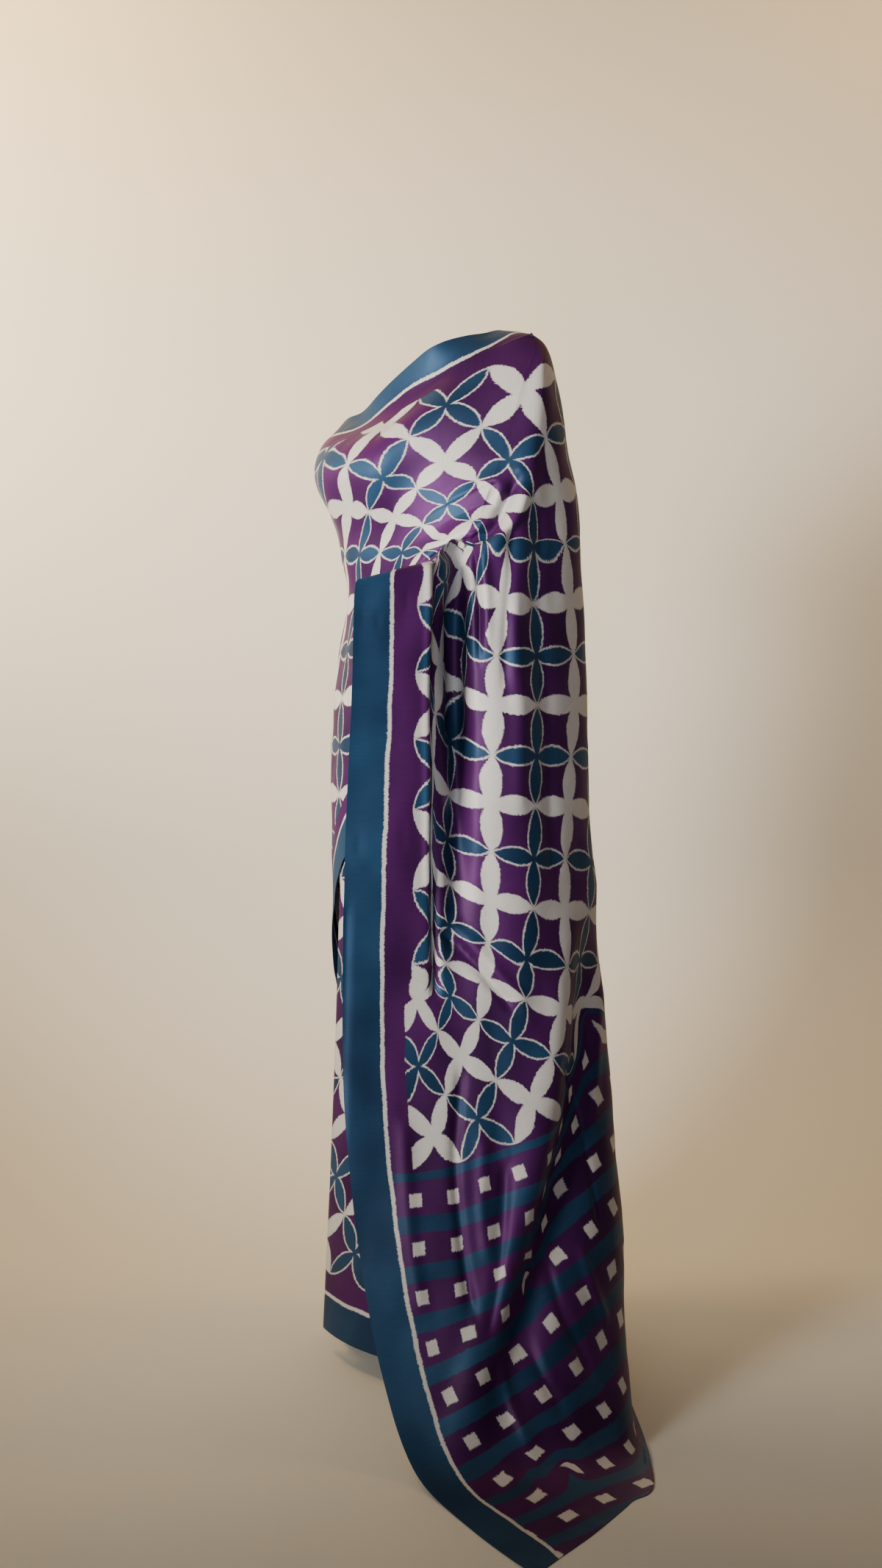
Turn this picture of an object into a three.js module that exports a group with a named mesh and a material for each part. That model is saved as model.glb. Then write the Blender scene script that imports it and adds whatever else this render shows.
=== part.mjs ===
// A silk saree as it hangs when worn, without the wearer.
// One cloth about 5.5 m long and 1.14 m wide: a wrapped skirt with front pleats, a second turn
// round the hips, the stretch across the bust to the left shoulder, and the end of the cloth
// (the pallu) hanging open over the left arm and forearm down to a train on the floor.
// Millimetres. X is the wearer's left, -Y the wearer's front, Z up, origin at the middle of the waist.

import * as THREE from "three";

// Driving sizes
const WAIST_TO_FLOOR = 1135;
const HEM_CLEARANCE = 20;
const PLEAT_HEM_CLEARANCE = 36;
const WALL = 1.6;
const PLEAT_WALL = 1.0;
const SEAM = 0.3;
const CREST_CLEARANCE = 0.75;
const HEM_FOLDS_START_Z = -60;
const PALLU_TURN = THREE.MathUtils.degToRad(48);

const FLOOR_Z = -WAIST_TO_FLOOR;
const HEM_Z = FLOOR_Z + HEM_CLEARANCE;
const PLEAT_HEM_Z = FLOOR_Z + PLEAT_HEM_CLEARANCE;
const ON_FLOOR_Z = FLOOR_Z + WALL / 2 + 0.2;

// The figure the cloth is wound on: an ellipse at each height.
const BODY = [
  { z: -1150, halfWidth: 182, halfDepth: 126, centreY: 4 },
  { z: -800, halfWidth: 174, halfDepth: 118, centreY: 6 },
  { z: -450, halfWidth: 170, halfDepth: 115, centreY: 8 },
  { z: -200, halfWidth: 170, halfDepth: 116, centreY: 8 },
  { z: -100, halfWidth: 156, halfDepth: 109, centreY: 6 },
  { z: 0, halfWidth: 131, halfDepth: 98, centreY: 2 },
  { z: 50, halfWidth: 136, halfDepth: 114, centreY: -6 },
  { z: 100, halfWidth: 145, halfDepth: 126, centreY: -17 },
  { z: 160, halfWidth: 158, halfDepth: 138, centreY: -30 },
  { z: 205, halfWidth: 155, halfDepth: 132, centreY: -25 },
  { z: 250, halfWidth: 148, halfDepth: 100, centreY: -8 },
  { z: 330, halfWidth: 145, halfDepth: 86, centreY: 0 },
];

// Soft upright folds of the skirt: where they stand round the body and how deep they are at the hem.
const SKIRT_FOLDS = [
  { angle: 58, width: 9, hemDepth: 7 },
  { angle: 84, width: 12, hemDepth: -6 },
  { angle: 112, width: 11, hemDepth: 9 },
  { angle: 146, width: 13, hemDepth: -7 },
  { angle: 178, width: 12, hemDepth: 9 },
  { angle: 212, width: 13, hemDepth: -6 },
  { angle: 246, width: 12, hemDepth: 8 },
  { angle: 276, width: 12, hemDepth: -6 },
  { angle: 304, width: 9, hemDepth: 6 },
];

// Knife pleats: one cloth laid to and fro, so each pleat is two layers.
const PLEATS = { count: 5, width: 104, hemWidth: 118, layerAtWaist: 1.55, layerAtHem: 3.1,
  stepAtWaist: 2, stepAtHem: 8, firstLift: 4, radius: 150, spansPerLayer: 6 };

// Second turn, from under the pleats round the left side and the back to the right hip.
// Angles run round the body from the front, the wearer's left positive.
const HIP_WRAP = [
  { angle: -250, topZ: 6, bottomZ: -1112, waistShare: 0.2, lift: 5 },
  { angle: -215, topZ: 8, bottomZ: -1106, waistShare: 0.25, lift: 5 },
  { angle: -180, topZ: 14, bottomZ: -1085, waistShare: 0.3, lift: 6 },
  { angle: -150, topZ: 30, bottomZ: -1010, waistShare: 0.36, lift: 6 },
  { angle: -125, topZ: 62, bottomZ: -905, waistShare: 0.4, lift: 6 },
];

// The stretch from the right hip to the left arm. Each row is one line across the cloth lying on the body.
const BODICE = [
  { angle: -125, topZ: 62, bottomZ: -905, waistShare: 0.4, lift: 6, pleatLift: 6 },
  { angle: -98, topZ: 118, bottomZ: -780, waistShare: 0.43, lift: 6, pleatLift: 8 },
  { angle: -70, topZ: 182, bottomZ: -640, waistShare: 0.47, lift: 6, pleatLift: 12 },
  { angle: -42, topZ: 244, bottomZ: -505, waistShare: 0.52, lift: 6, pleatLift: 20 },
  { angle: -14, topZ: 262, bottomZ: -390, waistShare: 0.57, lift: 6, pleatLift: 27 },
  { angle: 18, topZ: 322, bottomZ: -285, waistShare: 0.62, lift: 6, pleatLift: 29 },
];
const PLEAT_LIFT_ENDS_Z = 90;

// Half way from the chest to the arm, from the upper border down to the lower one.
const BRIDGE = [
  { x: 97, y: -68, z: 352 },
  { x: 122, y: -66, z: 314 },
  { x: 129, y: -108, z: 242 },
  { x: 126, y: -116, z: 162 },
  { x: 122, y: -118, z: 86 },
  { x: 118, y: -140, z: 4 },
  { x: 114, y: -174, z: -58 },
  { x: 104, y: -212, z: -112 },
];

// The pallu is laid out in its own plan: "along" runs past the arm towards the wearer's back,
// "out" runs away from the body. Each line below is one named line down the cloth.
const SHOULDER_LINES = {
  armFront: [[149, 125, 366], [146, 146, 338], [130, 165, 300],
    [100, 188, 205], [78, 206, 140], [62, 215, 81]],
  armNear: [[147, 117, 369], [158, 136, 342], [160, 158, 300],
    [152, 184, 203], [138, 197, 140], [125, 204, 78]],
  side: [[141, 109, 372], [166, 110, 344], [179, 108, 300],
    [195, 108, 200], [204, 110, 135], [208, 114, 72]],
  backMiddle: [[124, 91, 376], [156, 72, 345], [170, 48, 300],
    [180, 30, 200], [186, 24, 130], [191, 18, 64]],
  backEdge: [[104, 71, 379], [128, 45, 348], [142, 8, 300],
    [132, -22, 200], [128, -30, 130], [125, -36, 62]],
};

// Levels below the arm: forearm, just under it, five heights of the fall, the bend above the floor,
// the floor, the middle of the train and its end.
const FALL_LINES = {
  lowerBorder: [[-101, 300, 22], [-106, 308, -14], [-109, 307, -150], [-118, 304, -350], [-121, 303, -520],
    [-118, 315, -700], [-97, 347, -880], [-63, 400, -1030], [-14, 474, 0], [62, 606, 0], [119, 694, 0]],
  panelBack: [[0, 262, 48], [-2, 274, 12], [-4, 272, -150], [-6, 275, -350], [-6, 280, -520],
    [-4, 303, -700], [12, 350, -880], [40, 404, -1030], [75, 474, 0], [118, 580, 0], [150, 652, 0]],
  recess: [[33, 232, 64], [30, 216, 28], [28, 192, -150], [30, 230, -350], [33, 266, -520],
    [38, 298, -700], [54, 346, -880], [82, 399, -1030], [112, 466, 0], [150, 556, 0], [176, 618, 0]],
  armFront: [[62, 215, 81], [62, 226, 44], [62, 230, -150], [66, 243, -350], [72, 264, -520],
    [80, 294, -700], [98, 337, -880], [124, 389, -1030], [152, 455, 0], [180, 536, 0], [199, 586, 0]],
  armNear: [[125, 204, 78], [126, 210, 40], [129, 217, -150], [133, 228, -350], [141, 246, -520],
    [152, 272, -700], [168, 308, -880], [188, 358, -1030], [208, 424, 0], [230, 480, 0], [246, 512, 0]],
  side: [[208, 114, 72], [211, 113, 32], [216, 112, -150], [224, 120, -350], [241, 136, -520],
    [252, 162, -700], [263, 204, -880], [265, 262, -1030], [268, 346, 0], [277, 402, 0], [283, 440, 0]],
  backMiddle: [[191, 18, 64], [196, 14, 28], [205, 0, -150], [212, 0, -350], [224, 2, -520],
    [236, 12, -700], [246, 30, -880], [252, 58, -1030], [256, 92, 0], [260, 112, 0], [262, 130, 0]],
  backEdge: [[125, -36, 62], [125, -44, 26], [126, -80, -150], [128, -110, -350], [132, -130, -520],
    [137, -146, -700], [142, -160, -880], [146, -172, -1030], [150, -184, 0], [152, -192, 0], [154, -200, 0]],
};
const FOREARM_LEVEL = 1;
const FREE_LEVEL = 4;
const BEND_LEVEL = 7;
const FLOOR_LEVEL = 8;
// The fall's lines where its stretches part: the panel's back, the arm and the side.
const PANEL_LINE = 1;
const ARM_LINE = 3;
const SIDE_LINE = 5;
const FALL_ROWS_PER_LEVEL = [1, 2, 2, 3, 4, 5, 4, 3, 2, 2];
const FALL_COLUMNS_PER_LINE = [6, 4, 4, 7, 8, 6, 6];
const SHOULDER_ROWS_PER_LEVEL = [1, 1, 2, 2, 2];
const MEETS_FALL_FROM = 0.4;

// The long fold where the front of the fall lies over the cloth behind it.
const LONG_FOLD = [
  { z: -430, along: 212, ridge: 0, valley: 0 },
  { z: -540, along: 200, ridge: 8, valley: 12 },
  { z: -700, along: 180, ridge: 13, valley: 20 },
  { z: -880, along: 132, ridge: 14, valley: 22 },
  { z: -1000, along: 90, ridge: 11, valley: 16 },
  { z: -1090, along: 62, ridge: 5, valley: 7 },
  { z: -1135, along: 52, ridge: 0, valley: 0 },
];
const LONG_FOLD_HALF_WIDTH = 29;
const LONG_FOLD_ENDS_AT_LINE = 5.4;
const RIDGE_TO_MIDDLE = 0.8;

// Upright folds of the fall behind the left side, by their place between the named lines.
const BACK_FOLDS = [
  { line: 5.45, width: 0.22, depth: -15 },
  { line: 5.95, width: 0.2, depth: 12 },
  { line: 6.38, width: 0.18, depth: -14 },
  { line: 6.72, width: 0.15, depth: 10 },
];

const SILK = {
  skirt_wrap: 0x5b2860, skirt_pleats: 0x5e2a62, hip_wrap: 0x592760, bodice_drape: 0x612b62,
  pallu_shoulder: 0x622c66, pallu_forearm_panel: 0x2f5068, pallu_arm_fall: 0x5c2962,
  pallu_back_fall: 0x572560, pallu_train: 0x532660,
};

// A smooth value between the rows of a table, through every row.
function smoothAt(rows, key, place, value) {
  const last = rows.length - 1;
  let i = 0;
  while (i < last - 1 && (place - rows[i + 1][key]) * (rows[last][key] - rows[0][key]) > 0) i += 1;
  const slope = (k) => {
    const a = rows[Math.max(k - 1, 0)];
    const b = rows[Math.min(k + 1, last)];
    return (b[value] - a[value]) / (b[key] - a[key]);
  };
  const span = rows[i + 1][key] - rows[i][key];
  const t = THREE.MathUtils.clamp((place - rows[i][key]) / span, 0, 1);
  return hermite(rows[i][value], rows[i + 1][value], slope(i) * span, slope(i + 1) * span, t);
}

function hermite(a, b, slopeA, slopeB, t) {
  const t2 = t * t;
  const t3 = t2 * t;
  return a * (2 * t3 - 3 * t2 + 1) + b * (3 * t2 - 2 * t3) + slopeA * (t3 - 2 * t2 + t) + slopeB * (t3 - t2);
}

// A smooth point through a list of points; place counts in points from the first.
function smoothPoint(points, place) {
  const last = points.length - 1;
  const i = Math.min(Math.floor(place), last - 1);
  const t = place - i;
  const at = (k) => {
    if (k < 0) return points[0].clone().multiplyScalar(2).sub(points[1]);
    if (k > last) return points[last].clone().multiplyScalar(2).sub(points[last - 1]);
    return points[k];
  };
  const slopeA = at(i + 1).clone().sub(at(i - 1)).multiplyScalar(0.5);
  const slopeB = at(i + 2).clone().sub(at(i)).multiplyScalar(0.5);
  const mix = (axis) => hermite(at(i)[axis], at(i + 1)[axis], slopeA[axis], slopeB[axis], t);
  return new THREE.Vector3(mix("x"), mix("y"), mix("z"));
}

// A point on the figure at an angle (degrees) and a height, lifted off it.
function onBody(angle, z, lift) {
  const halfWidth = smoothAt(BODY, "z", z, "halfWidth");
  const halfDepth = smoothAt(BODY, "z", z, "halfDepth");
  const centreY = smoothAt(BODY, "z", z, "centreY");
  const turn = THREE.MathUtils.degToRad(angle);
  const outward = new THREE.Vector2(Math.sin(turn) / halfWidth, -Math.cos(turn) / halfDepth).normalize();
  return new THREE.Vector3(
    halfWidth * Math.sin(turn) + lift * outward.x,
    centreY - halfDepth * Math.cos(turn) + lift * outward.y,
    z,
  );
}

// From the pallu's own plan to the row frame; a height of 0 in the lines means "on the floor".
function fromPalluPlan([along, out, z]) {
  return new THREE.Vector3(
    along * Math.cos(PALLU_TURN) + out * Math.sin(PALLU_TURN),
    along * Math.sin(PALLU_TURN) - out * Math.cos(PALLU_TURN),
    z === 0 ? ON_FLOOR_Z : z,
  );
}

function angleBetween(angle, other) {
  return ((angle - other + 540) % 360) - 180;
}

function skirtFold(angle, z) {
  const towardsHem = THREE.MathUtils.smoothstep(-z, -HEM_FOLDS_START_Z, WAIST_TO_FLOOR);
  let depth = 0;
  for (const fold of SKIRT_FOLDS) {
    const away = angleBetween(angle, fold.angle) / fold.width;
    depth += fold.hemDepth * towardsHem * Math.exp(-away * away);
  }
  return depth;
}

// Places from 0 to the number of spans, with so many steps in each span.
function stepsThrough(stepsPerSpan) {
  const places = [0];
  stepsPerSpan.forEach((steps, span) => {
    for (let k = 1; k <= steps; k += 1) places.push(span + k / steps);
  });
  return places;
}

// A grid of points through named lines, each line a list of points at the same levels.
function gridThroughLines(lines, rowPlaces, columnPlaces) {
  return rowPlaces.map((row) => {
    const level = lines.map((line) => smoothPoint(line, row));
    return columnPlaces.map((column) => smoothPoint(level, column));
  });
}

function gridNormals(grid, closed) {
  const rows = grid.length;
  const columns = grid[0].length;
  return grid.map((row, r) => row.map((point, c) => {
    const left = closed ? row[(c + columns - 1) % columns] : row[Math.max(c - 1, 0)];
    const right = closed ? row[(c + 1) % columns] : row[Math.min(c + 1, columns - 1)];
    const above = grid[Math.max(r - 1, 0)][c];
    const below = grid[Math.min(r + 1, rows - 1)][c];
    const across = right.clone().sub(left);
    const down = below.clone().sub(above);
    return across.cross(down).normalize();
  }));
}

// The closed solid of one stretch of cloth: both faces of the grid and the rim between them.
function clothSolid(name, grid, normals, wall, closed) {
  const rows = grid.length;
  const columns = grid[0].length;
  const positions = [];
  for (const side of [0.5, -0.5]) {
    grid.forEach((row, r) => row.forEach((point, c) => {
      const moved = point.clone().addScaledVector(normals[r][c], side * wall);
      positions.push(moved.x, moved.y, moved.z);
    }));
  }
  const back = rows * columns;
  const at = (r, c) => r * columns + (c % columns);
  const faces = [];
  const quad = (a, b, c, d) => faces.push(a, b, c, a, c, d);
  const spans = closed ? columns : columns - 1;
  for (let r = 0; r < rows - 1; r += 1) {
    for (let c = 0; c < spans; c += 1) {
      const corners = [at(r, c), at(r + 1, c), at(r + 1, c + 1), at(r, c + 1)];
      quad(...[3, 2, 1, 0].map((k) => corners[k]));
      faces.push(back + corners[3], back + corners[0], back + corners[1]);
      faces.push(back + corners[3], back + corners[1], back + corners[2]);
    }
  }
  for (let c = 0; c < spans; c += 1) {
    quad(at(0, c), back + at(0, c), back + at(0, c + 1), at(0, c + 1));
    quad(at(rows - 1, c + 1), back + at(rows - 1, c + 1), back + at(rows - 1, c), at(rows - 1, c));
  }
  if (!closed) {
    const last = columns - 1;
    for (let r = 0; r < rows - 1; r += 1) {
      quad(at(r + 1, 0), back + at(r + 1, 0), back + at(r, 0), at(r, 0));
      quad(at(r, last), back + at(r, last), back + at(r + 1, last), at(r + 1, last));
    }
  }
  const geometry = new THREE.BufferGeometry();
  geometry.setAttribute("position", new THREE.Float32BufferAttribute(positions, 3));
  geometry.setIndex(faces);
  geometry.computeVertexNormals();
  const silk = new THREE.MeshStandardMaterial({ color: SILK[name], roughness: 0.42, metalness: 0 });
  silk.name = `${name}_silk`;
  const mesh = new THREE.Mesh(geometry, silk);
  mesh.name = name;
  return mesh;
}

// The part of a grid between rows and columns, drawn in by half a seam where it meets another stretch.
function stretchOf(grid, normals, rowRange, columnRange, meets) {
  const cut = (table) => table.slice(rowRange[0], rowRange[1] + 1)
    .map((row) => row.slice(columnRange[0], columnRange[1] + 1));
  const points = cut(grid).map((row) => row.map((point) => point.clone()));
  const draw = (point, inner, gap) => point.add(inner.clone().sub(point).setLength(gap));
  const rows = points.length;
  const columns = points[0].length;
  for (let c = 0; c < columns; c += 1) {
    if (meets.top) draw(points[0][c], points[1][c], meets.top);
    if (meets.bottom) draw(points[rows - 1][c], points[rows - 2][c], meets.bottom);
  }
  for (let r = 0; r < rows; r += 1) {
    if (meets.left) draw(points[r][0], points[r][1], meets.left);
    if (meets.right) draw(points[r][columns - 1], points[r][columns - 2], meets.right);
  }
  return { points, normals: cut(normals) };
}

function buildSkirtWrap() {
  const rows = 13;
  const columns = 44;
  const topZ = 4;
  const grid = [];
  for (let r = 0; r <= rows; r += 1) {
    const z = THREE.MathUtils.lerp(topZ, HEM_Z, r / rows);
    const row = [];
    for (let c = 0; c < columns; c += 1) {
      const angle = (360 * c) / columns;
      row.push(onBody(angle, z, skirtFold(angle, z)));
    }
    grid.push(row);
  }
  return clothSolid("skirt_wrap", grid, gridNormals(grid, true), WALL, true);
}

// One cloth folded to and fro in layers on the front of the skirt, each pleat stepping sideways.
function buildSkirtPleats() {
  const rows = 8;
  const topZ = 2;
  const degreesPerMm = 360 / (2 * Math.PI * PLEATS.radius);
  const grid = [];
  for (let r = 0; r <= rows; r += 1) {
    const share = r / rows;
    const z = THREE.MathUtils.lerp(topZ, PLEAT_HEM_Z, share);
    const width = THREE.MathUtils.lerp(PLEATS.width, PLEATS.hemWidth, share);
    const layer = THREE.MathUtils.lerp(PLEATS.layerAtWaist, PLEATS.layerAtHem, share);
    const step = THREE.MathUtils.lerp(PLEATS.stepAtWaist, PLEATS.stepAtHem, share);
    const row = [];
    for (let k = 0; k < 2 * PLEATS.count; k += 1) {
      const middle = (PLEATS.count / 2 - Math.floor(k / 2)) * step;
      const towardsRight = k % 2 === 0 ? 1 : -1;
      const lift = PLEATS.firstLift + k * layer;
      for (let span = 0; span <= PLEATS.spansPerLayer; span += 1) {
        const across = middle + towardsRight * (0.5 - span / PLEATS.spansPerLayer) * width;
        row.push(onBody(across * degreesPerMm, z, lift));
      }
      if (k < 2 * PLEATS.count - 1) {
        const turnAt = middle - towardsRight * (width / 2 + layer / 2);
        row.push(onBody(turnAt * degreesPerMm, z, lift + layer / 2));
      }
    }
    grid.push(row);
  }
  return clothSolid("skirt_pleats", grid, gridNormals(grid, false), PLEAT_WALL, false);
}

// The height of a line along the cloth, from its top edge at share 0 through the waist to its low edge at 1.
function shareToHeight(rows, angle, share) {
  const value = (key) => smoothAt(rows, "angle", angle, key);
  const waist = value("waistShare");
  return share < waist
    ? value("topZ") * (1 - share / waist)
    : (value("bottomZ") * (share - waist)) / (1 - waist);
}

function buildHipWrap(shares) {
  const columns = 16;
  const first = HIP_WRAP[0].angle;
  const last = HIP_WRAP.at(-1).angle;
  const grid = shares.map((share) => {
    const row = [];
    for (let c = 0; c <= columns; c += 1) {
      const angle = THREE.MathUtils.lerp(first, last, c / columns);
      const z = shareToHeight(HIP_WRAP, angle, share);
      row.push(onBody(angle, z, smoothAt(HIP_WRAP, "angle", angle, "lift") + skirtFold(angle, z)));
    }
    return row;
  });
  const normals = gridNormals(grid, false);
  const piece = stretchOf(grid, normals, [0, grid.length - 1], [0, columns], { right: SEAM / 2 });
  return clothSolid("hip_wrap", piece.points, piece.normals, WALL, false);
}

function buildFall() {
  const lines = Object.values(FALL_LINES).map((line) => line.map(fromPalluPlan));
  const rowPlaces = stepsThrough(FALL_ROWS_PER_LEVEL);
  const columnPlaces = stepsThrough(FALL_COLUMNS_PER_LINE);
  const smooth = gridThroughLines(lines, rowPlaces, columnPlaces);
  const inward = gridNormals(smooth, false);
  const out = new THREE.Vector2(Math.cos(PALLU_TURN), Math.sin(PALLU_TURN));
  const folded = smooth.map((row, r) => row.map((point, c) => {
    const along = point.x * out.x + point.y * out.y;
    let lift = 0;
    if (point.z < LONG_FOLD[0].z && columnPlaces[c] < LONG_FOLD_ENDS_AT_LINE) {
      const away = (along - smoothAt(LONG_FOLD, "z", point.z, "along")) / LONG_FOLD_HALF_WIDTH;
      lift += smoothAt(LONG_FOLD, "z", point.z, "ridge") * Math.exp(-((away + RIDGE_TO_MIDDLE) ** 2));
      lift -= smoothAt(LONG_FOLD, "z", point.z, "valley") * Math.exp(-((away - RIDGE_TO_MIDDLE) ** 2));
    }
    const hangs = THREE.MathUtils.smoothstep(rowPlaces[r], FOREARM_LEVEL, FREE_LEVEL);
    const lies = THREE.MathUtils.smoothstep(rowPlaces[r], BEND_LEVEL, FLOOR_LEVEL);
    const hang = hangs * (1 - lies);
    for (const fold of BACK_FOLDS) {
      const away = (columnPlaces[c] - fold.line) / fold.width;
      lift += fold.depth * hang * Math.exp(-away * away);
    }
    const moved = point.clone().addScaledVector(inward[r][c], -lift);
    moved.z = Math.max(moved.z, ON_FLOOR_Z);
    return moved;
  }));
  return { grid: folded, rowPlaces, columnPlaces };
}

function buildShoulder(fall) {
  const lines = Object.values(SHOULDER_LINES).map((line) => line.map(fromPalluPlan));
  const rowPlaces = stepsThrough(SHOULDER_ROWS_PER_LEVEL);
  const columnPlaces = stepsThrough(FALL_COLUMNS_PER_LINE.slice(ARM_LINE));
  const grid = gridThroughLines(lines, rowPlaces, columnPlaces);
  const firstColumn = fall.grid[0].length - columnPlaces.length;
  const lastRow = grid.length - 1;
  const miss = grid[lastRow].map((point, c) => fall.grid[0][firstColumn + c].clone().sub(point));
  grid.forEach((row, r) => row.forEach((point, c) => {
    point.addScaledVector(miss[c], THREE.MathUtils.smoothstep(r / lastRow, MEETS_FALL_FROM, 1));
  }));
  return grid;
}

// The line the cloth hangs over: along the shoulder, down the front of the arm and out along the
// forearm. Each of its points comes with the next point of the cloth that hangs from it.
function armLine(shoulder, fall, firstArmColumn) {
  const ridgeSteps = 3;
  const lastRidge = shoulder[0].length - 1;
  const line = [];
  for (let k = ridgeSteps; k > 0; k -= 1) {
    const c = Math.round((lastRidge * k) / ridgeSteps);
    line.push({ point: shoulder[0][c], hanging: shoulder[1][c] });
  }
  shoulder.forEach((row) => line.push({ point: row[0], hanging: row[1] }));
  for (let c = firstArmColumn - 1; c >= 0; c -= 1) {
    line.push({ point: fall.grid[0][c], hanging: fall.grid[1][c] });
  }
  return line;
}

// How far short of the hanging line the bodice stops so that two walls meeting at an angle stay apart.
function crestGap({ point, hanging }, arriving) {
  const angle = hanging.clone().sub(point).angleTo(arriving.clone().sub(point));
  return WALL / 2 / Math.tan(angle / 2) + CREST_CLEARANCE;
}

// A point of the bodice stretch where it lies on the body; share runs from its top edge to its low edge.
function bodicePoint(angle, share) {
  const value = (key) => smoothAt(BODICE, "angle", angle, key);
  const z = shareToHeight(BODICE, angle, share);
  const overPleats = 1 - THREE.MathUtils.smoothstep(z, 0, PLEAT_LIFT_ENDS_Z);
  const lift = THREE.MathUtils.lerp(value("lift"), value("pleatLift"), overPleats);
  return onBody(angle, z, lift + skirtFold(angle, z));
}

// How far down a line each of its points is, from 0 to 1.
function sharesDown(line) {
  const distances = [0];
  for (let k = 1; k < line.length; k += 1) {
    distances.push(distances[k - 1] + line[k].point.distanceTo(line[k - 1].point));
  }
  return distances.map((distance) => distance / distances.at(-1));
}

function buildBodice(line, shares) {
  const bridgePoints = BRIDGE.map((point) => new THREE.Vector3(point.x, point.y, point.z));
  const lastStation = BODICE.length - 1;
  const spans = lastStation + 2;
  const columnPlaces = stepsThrough(Array(spans).fill(3));
  const grid = line.map((arm, r) => {
    const share = shares[r];
    const beforeLast = bodicePoint(BODICE[lastStation - 1].angle, share);
    const onChest = bodicePoint(BODICE[lastStation].angle, share);
    const bridge = smoothPoint(bridgePoints, share * (bridgePoints.length - 1));
    const offBody = [beforeLast, onChest, bridge, arm.point];
    return columnPlaces.map((place) => {
      if (place > lastStation) return smoothPoint(offBody, place - lastStation + 1);
      const k = Math.min(Math.floor(place), lastStation - 1);
      return bodicePoint(THREE.MathUtils.lerp(BODICE[k].angle, BODICE[k + 1].angle, place - k), share);
    });
  });
  const normals = gridNormals(grid, false);
  const lastRow = grid.length - 1;
  const lastColumn = grid[0].length - 1;
  const piece = stretchOf(grid, normals, [0, lastRow], [0, lastColumn], { left: SEAM / 2 });
  piece.points.forEach((row, r) => {
    const arriving = grid[r][lastColumn - 1];
    const gap = crestGap(line[r], arriving);
    row[lastColumn].add(arriving.clone().sub(row[lastColumn]).setLength(gap));
  });
  return clothSolid("bodice_drape", piece.points, piece.normals, WALL, false);
}

function build() {
  const saree = new THREE.Group();
  saree.name = "silk_saree";

  const fall = buildFall();
  const columnOf = (line) => fall.columnPlaces.indexOf(line);
  const rowOf = (level) => fall.rowPlaces.indexOf(level);
  const lastColumn = fall.columnPlaces.length - 1;
  const lastRow = fall.rowPlaces.length - 1;
  const shoulder = buildShoulder(fall);
  const shoulderNormals = gridNormals(shoulder, false);
  const fallNormals = gridNormals(fall.grid, false);

  const hangingLine = armLine(shoulder, fall, columnOf(ARM_LINE));
  const shares = sharesDown(hangingLine);
  saree.add(buildSkirtWrap(), buildSkirtPleats(), buildHipWrap(shares), buildBodice(hangingLine, shares));

  const over = stretchOf(shoulder, shoulderNormals, [0, shoulder.length - 1], [0, shoulder[0].length - 1],
    { bottom: SEAM / 2 });
  saree.add(clothSolid("pallu_shoulder", over.points, over.normals, WALL, false));

  const stretches = {
    pallu_forearm_panel: { rows: [0, rowOf(BEND_LEVEL)], columns: [0, columnOf(PANEL_LINE)],
      meets: { bottom: SEAM / 2, right: SEAM / 2 } },
    pallu_arm_fall: { rows: [0, rowOf(BEND_LEVEL)], columns: [columnOf(PANEL_LINE), columnOf(SIDE_LINE)],
      meets: { top: SEAM / 2, bottom: SEAM / 2, left: SEAM / 2, right: SEAM / 2 } },
    pallu_back_fall: { rows: [0, rowOf(BEND_LEVEL)], columns: [columnOf(SIDE_LINE), lastColumn],
      meets: { top: SEAM / 2, bottom: SEAM / 2, left: SEAM / 2 } },
    pallu_train: { rows: [rowOf(BEND_LEVEL), lastRow], columns: [0, lastColumn], meets: { top: SEAM / 2 } },
  };
  for (const [name, part] of Object.entries(stretches)) {
    const piece = stretchOf(fall.grid, fallNormals, part.rows, part.columns, part.meets);
    saree.add(clothSolid(name, piece.points, piece.normals, WALL, false));
  }
  return saree;
}

export default build();
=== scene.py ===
# A silk saree in the shape it has when worn: fine cloth on the solids' lines, with its folds, creases
# and woven ikat pattern. Lengths in the tables are millimetres, Blender's are metres.
# X is the garment's left, -Y its front, Z up, and the origin is the middle of the waist.
import math
from functools import partial

import bpy
import numpy as np
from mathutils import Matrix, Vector


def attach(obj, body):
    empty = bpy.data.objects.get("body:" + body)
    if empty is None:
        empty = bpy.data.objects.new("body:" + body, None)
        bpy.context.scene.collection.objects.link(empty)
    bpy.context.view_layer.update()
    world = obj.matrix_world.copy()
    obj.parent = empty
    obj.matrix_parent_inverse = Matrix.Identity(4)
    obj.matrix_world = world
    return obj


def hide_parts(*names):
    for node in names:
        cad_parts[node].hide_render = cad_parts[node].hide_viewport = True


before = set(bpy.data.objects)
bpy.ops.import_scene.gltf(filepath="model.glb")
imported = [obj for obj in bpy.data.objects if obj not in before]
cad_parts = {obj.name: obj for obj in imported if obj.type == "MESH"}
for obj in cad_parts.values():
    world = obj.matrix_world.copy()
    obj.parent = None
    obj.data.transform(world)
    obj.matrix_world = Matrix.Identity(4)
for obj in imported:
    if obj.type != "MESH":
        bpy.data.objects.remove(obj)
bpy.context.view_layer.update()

MM = 0.001
WAIST_TO_FLOOR = 1135.0
FLOOR_Z = -WAIST_TO_FLOOR
WAIST_Z = 4.0
HEM_Z = FLOOR_Z + 20
PLEAT_TOP_Z = 2.0
PLEAT_HEM_Z = FLOOR_Z + 36
ON_FLOOR_Z = FLOOR_Z + 1.0
# The pallu hangs square to the photograph's view, which is turned this far from the front.
PALLU_TURN = math.radians(48)
CLOTH_WIDTH = 1140.0
CLOTH_THICKNESS = 0.7
CREST_ROUNDING = 24.0
# Steps of the fine cloth for each step of the coarse one.
FINENESS = 6

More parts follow.
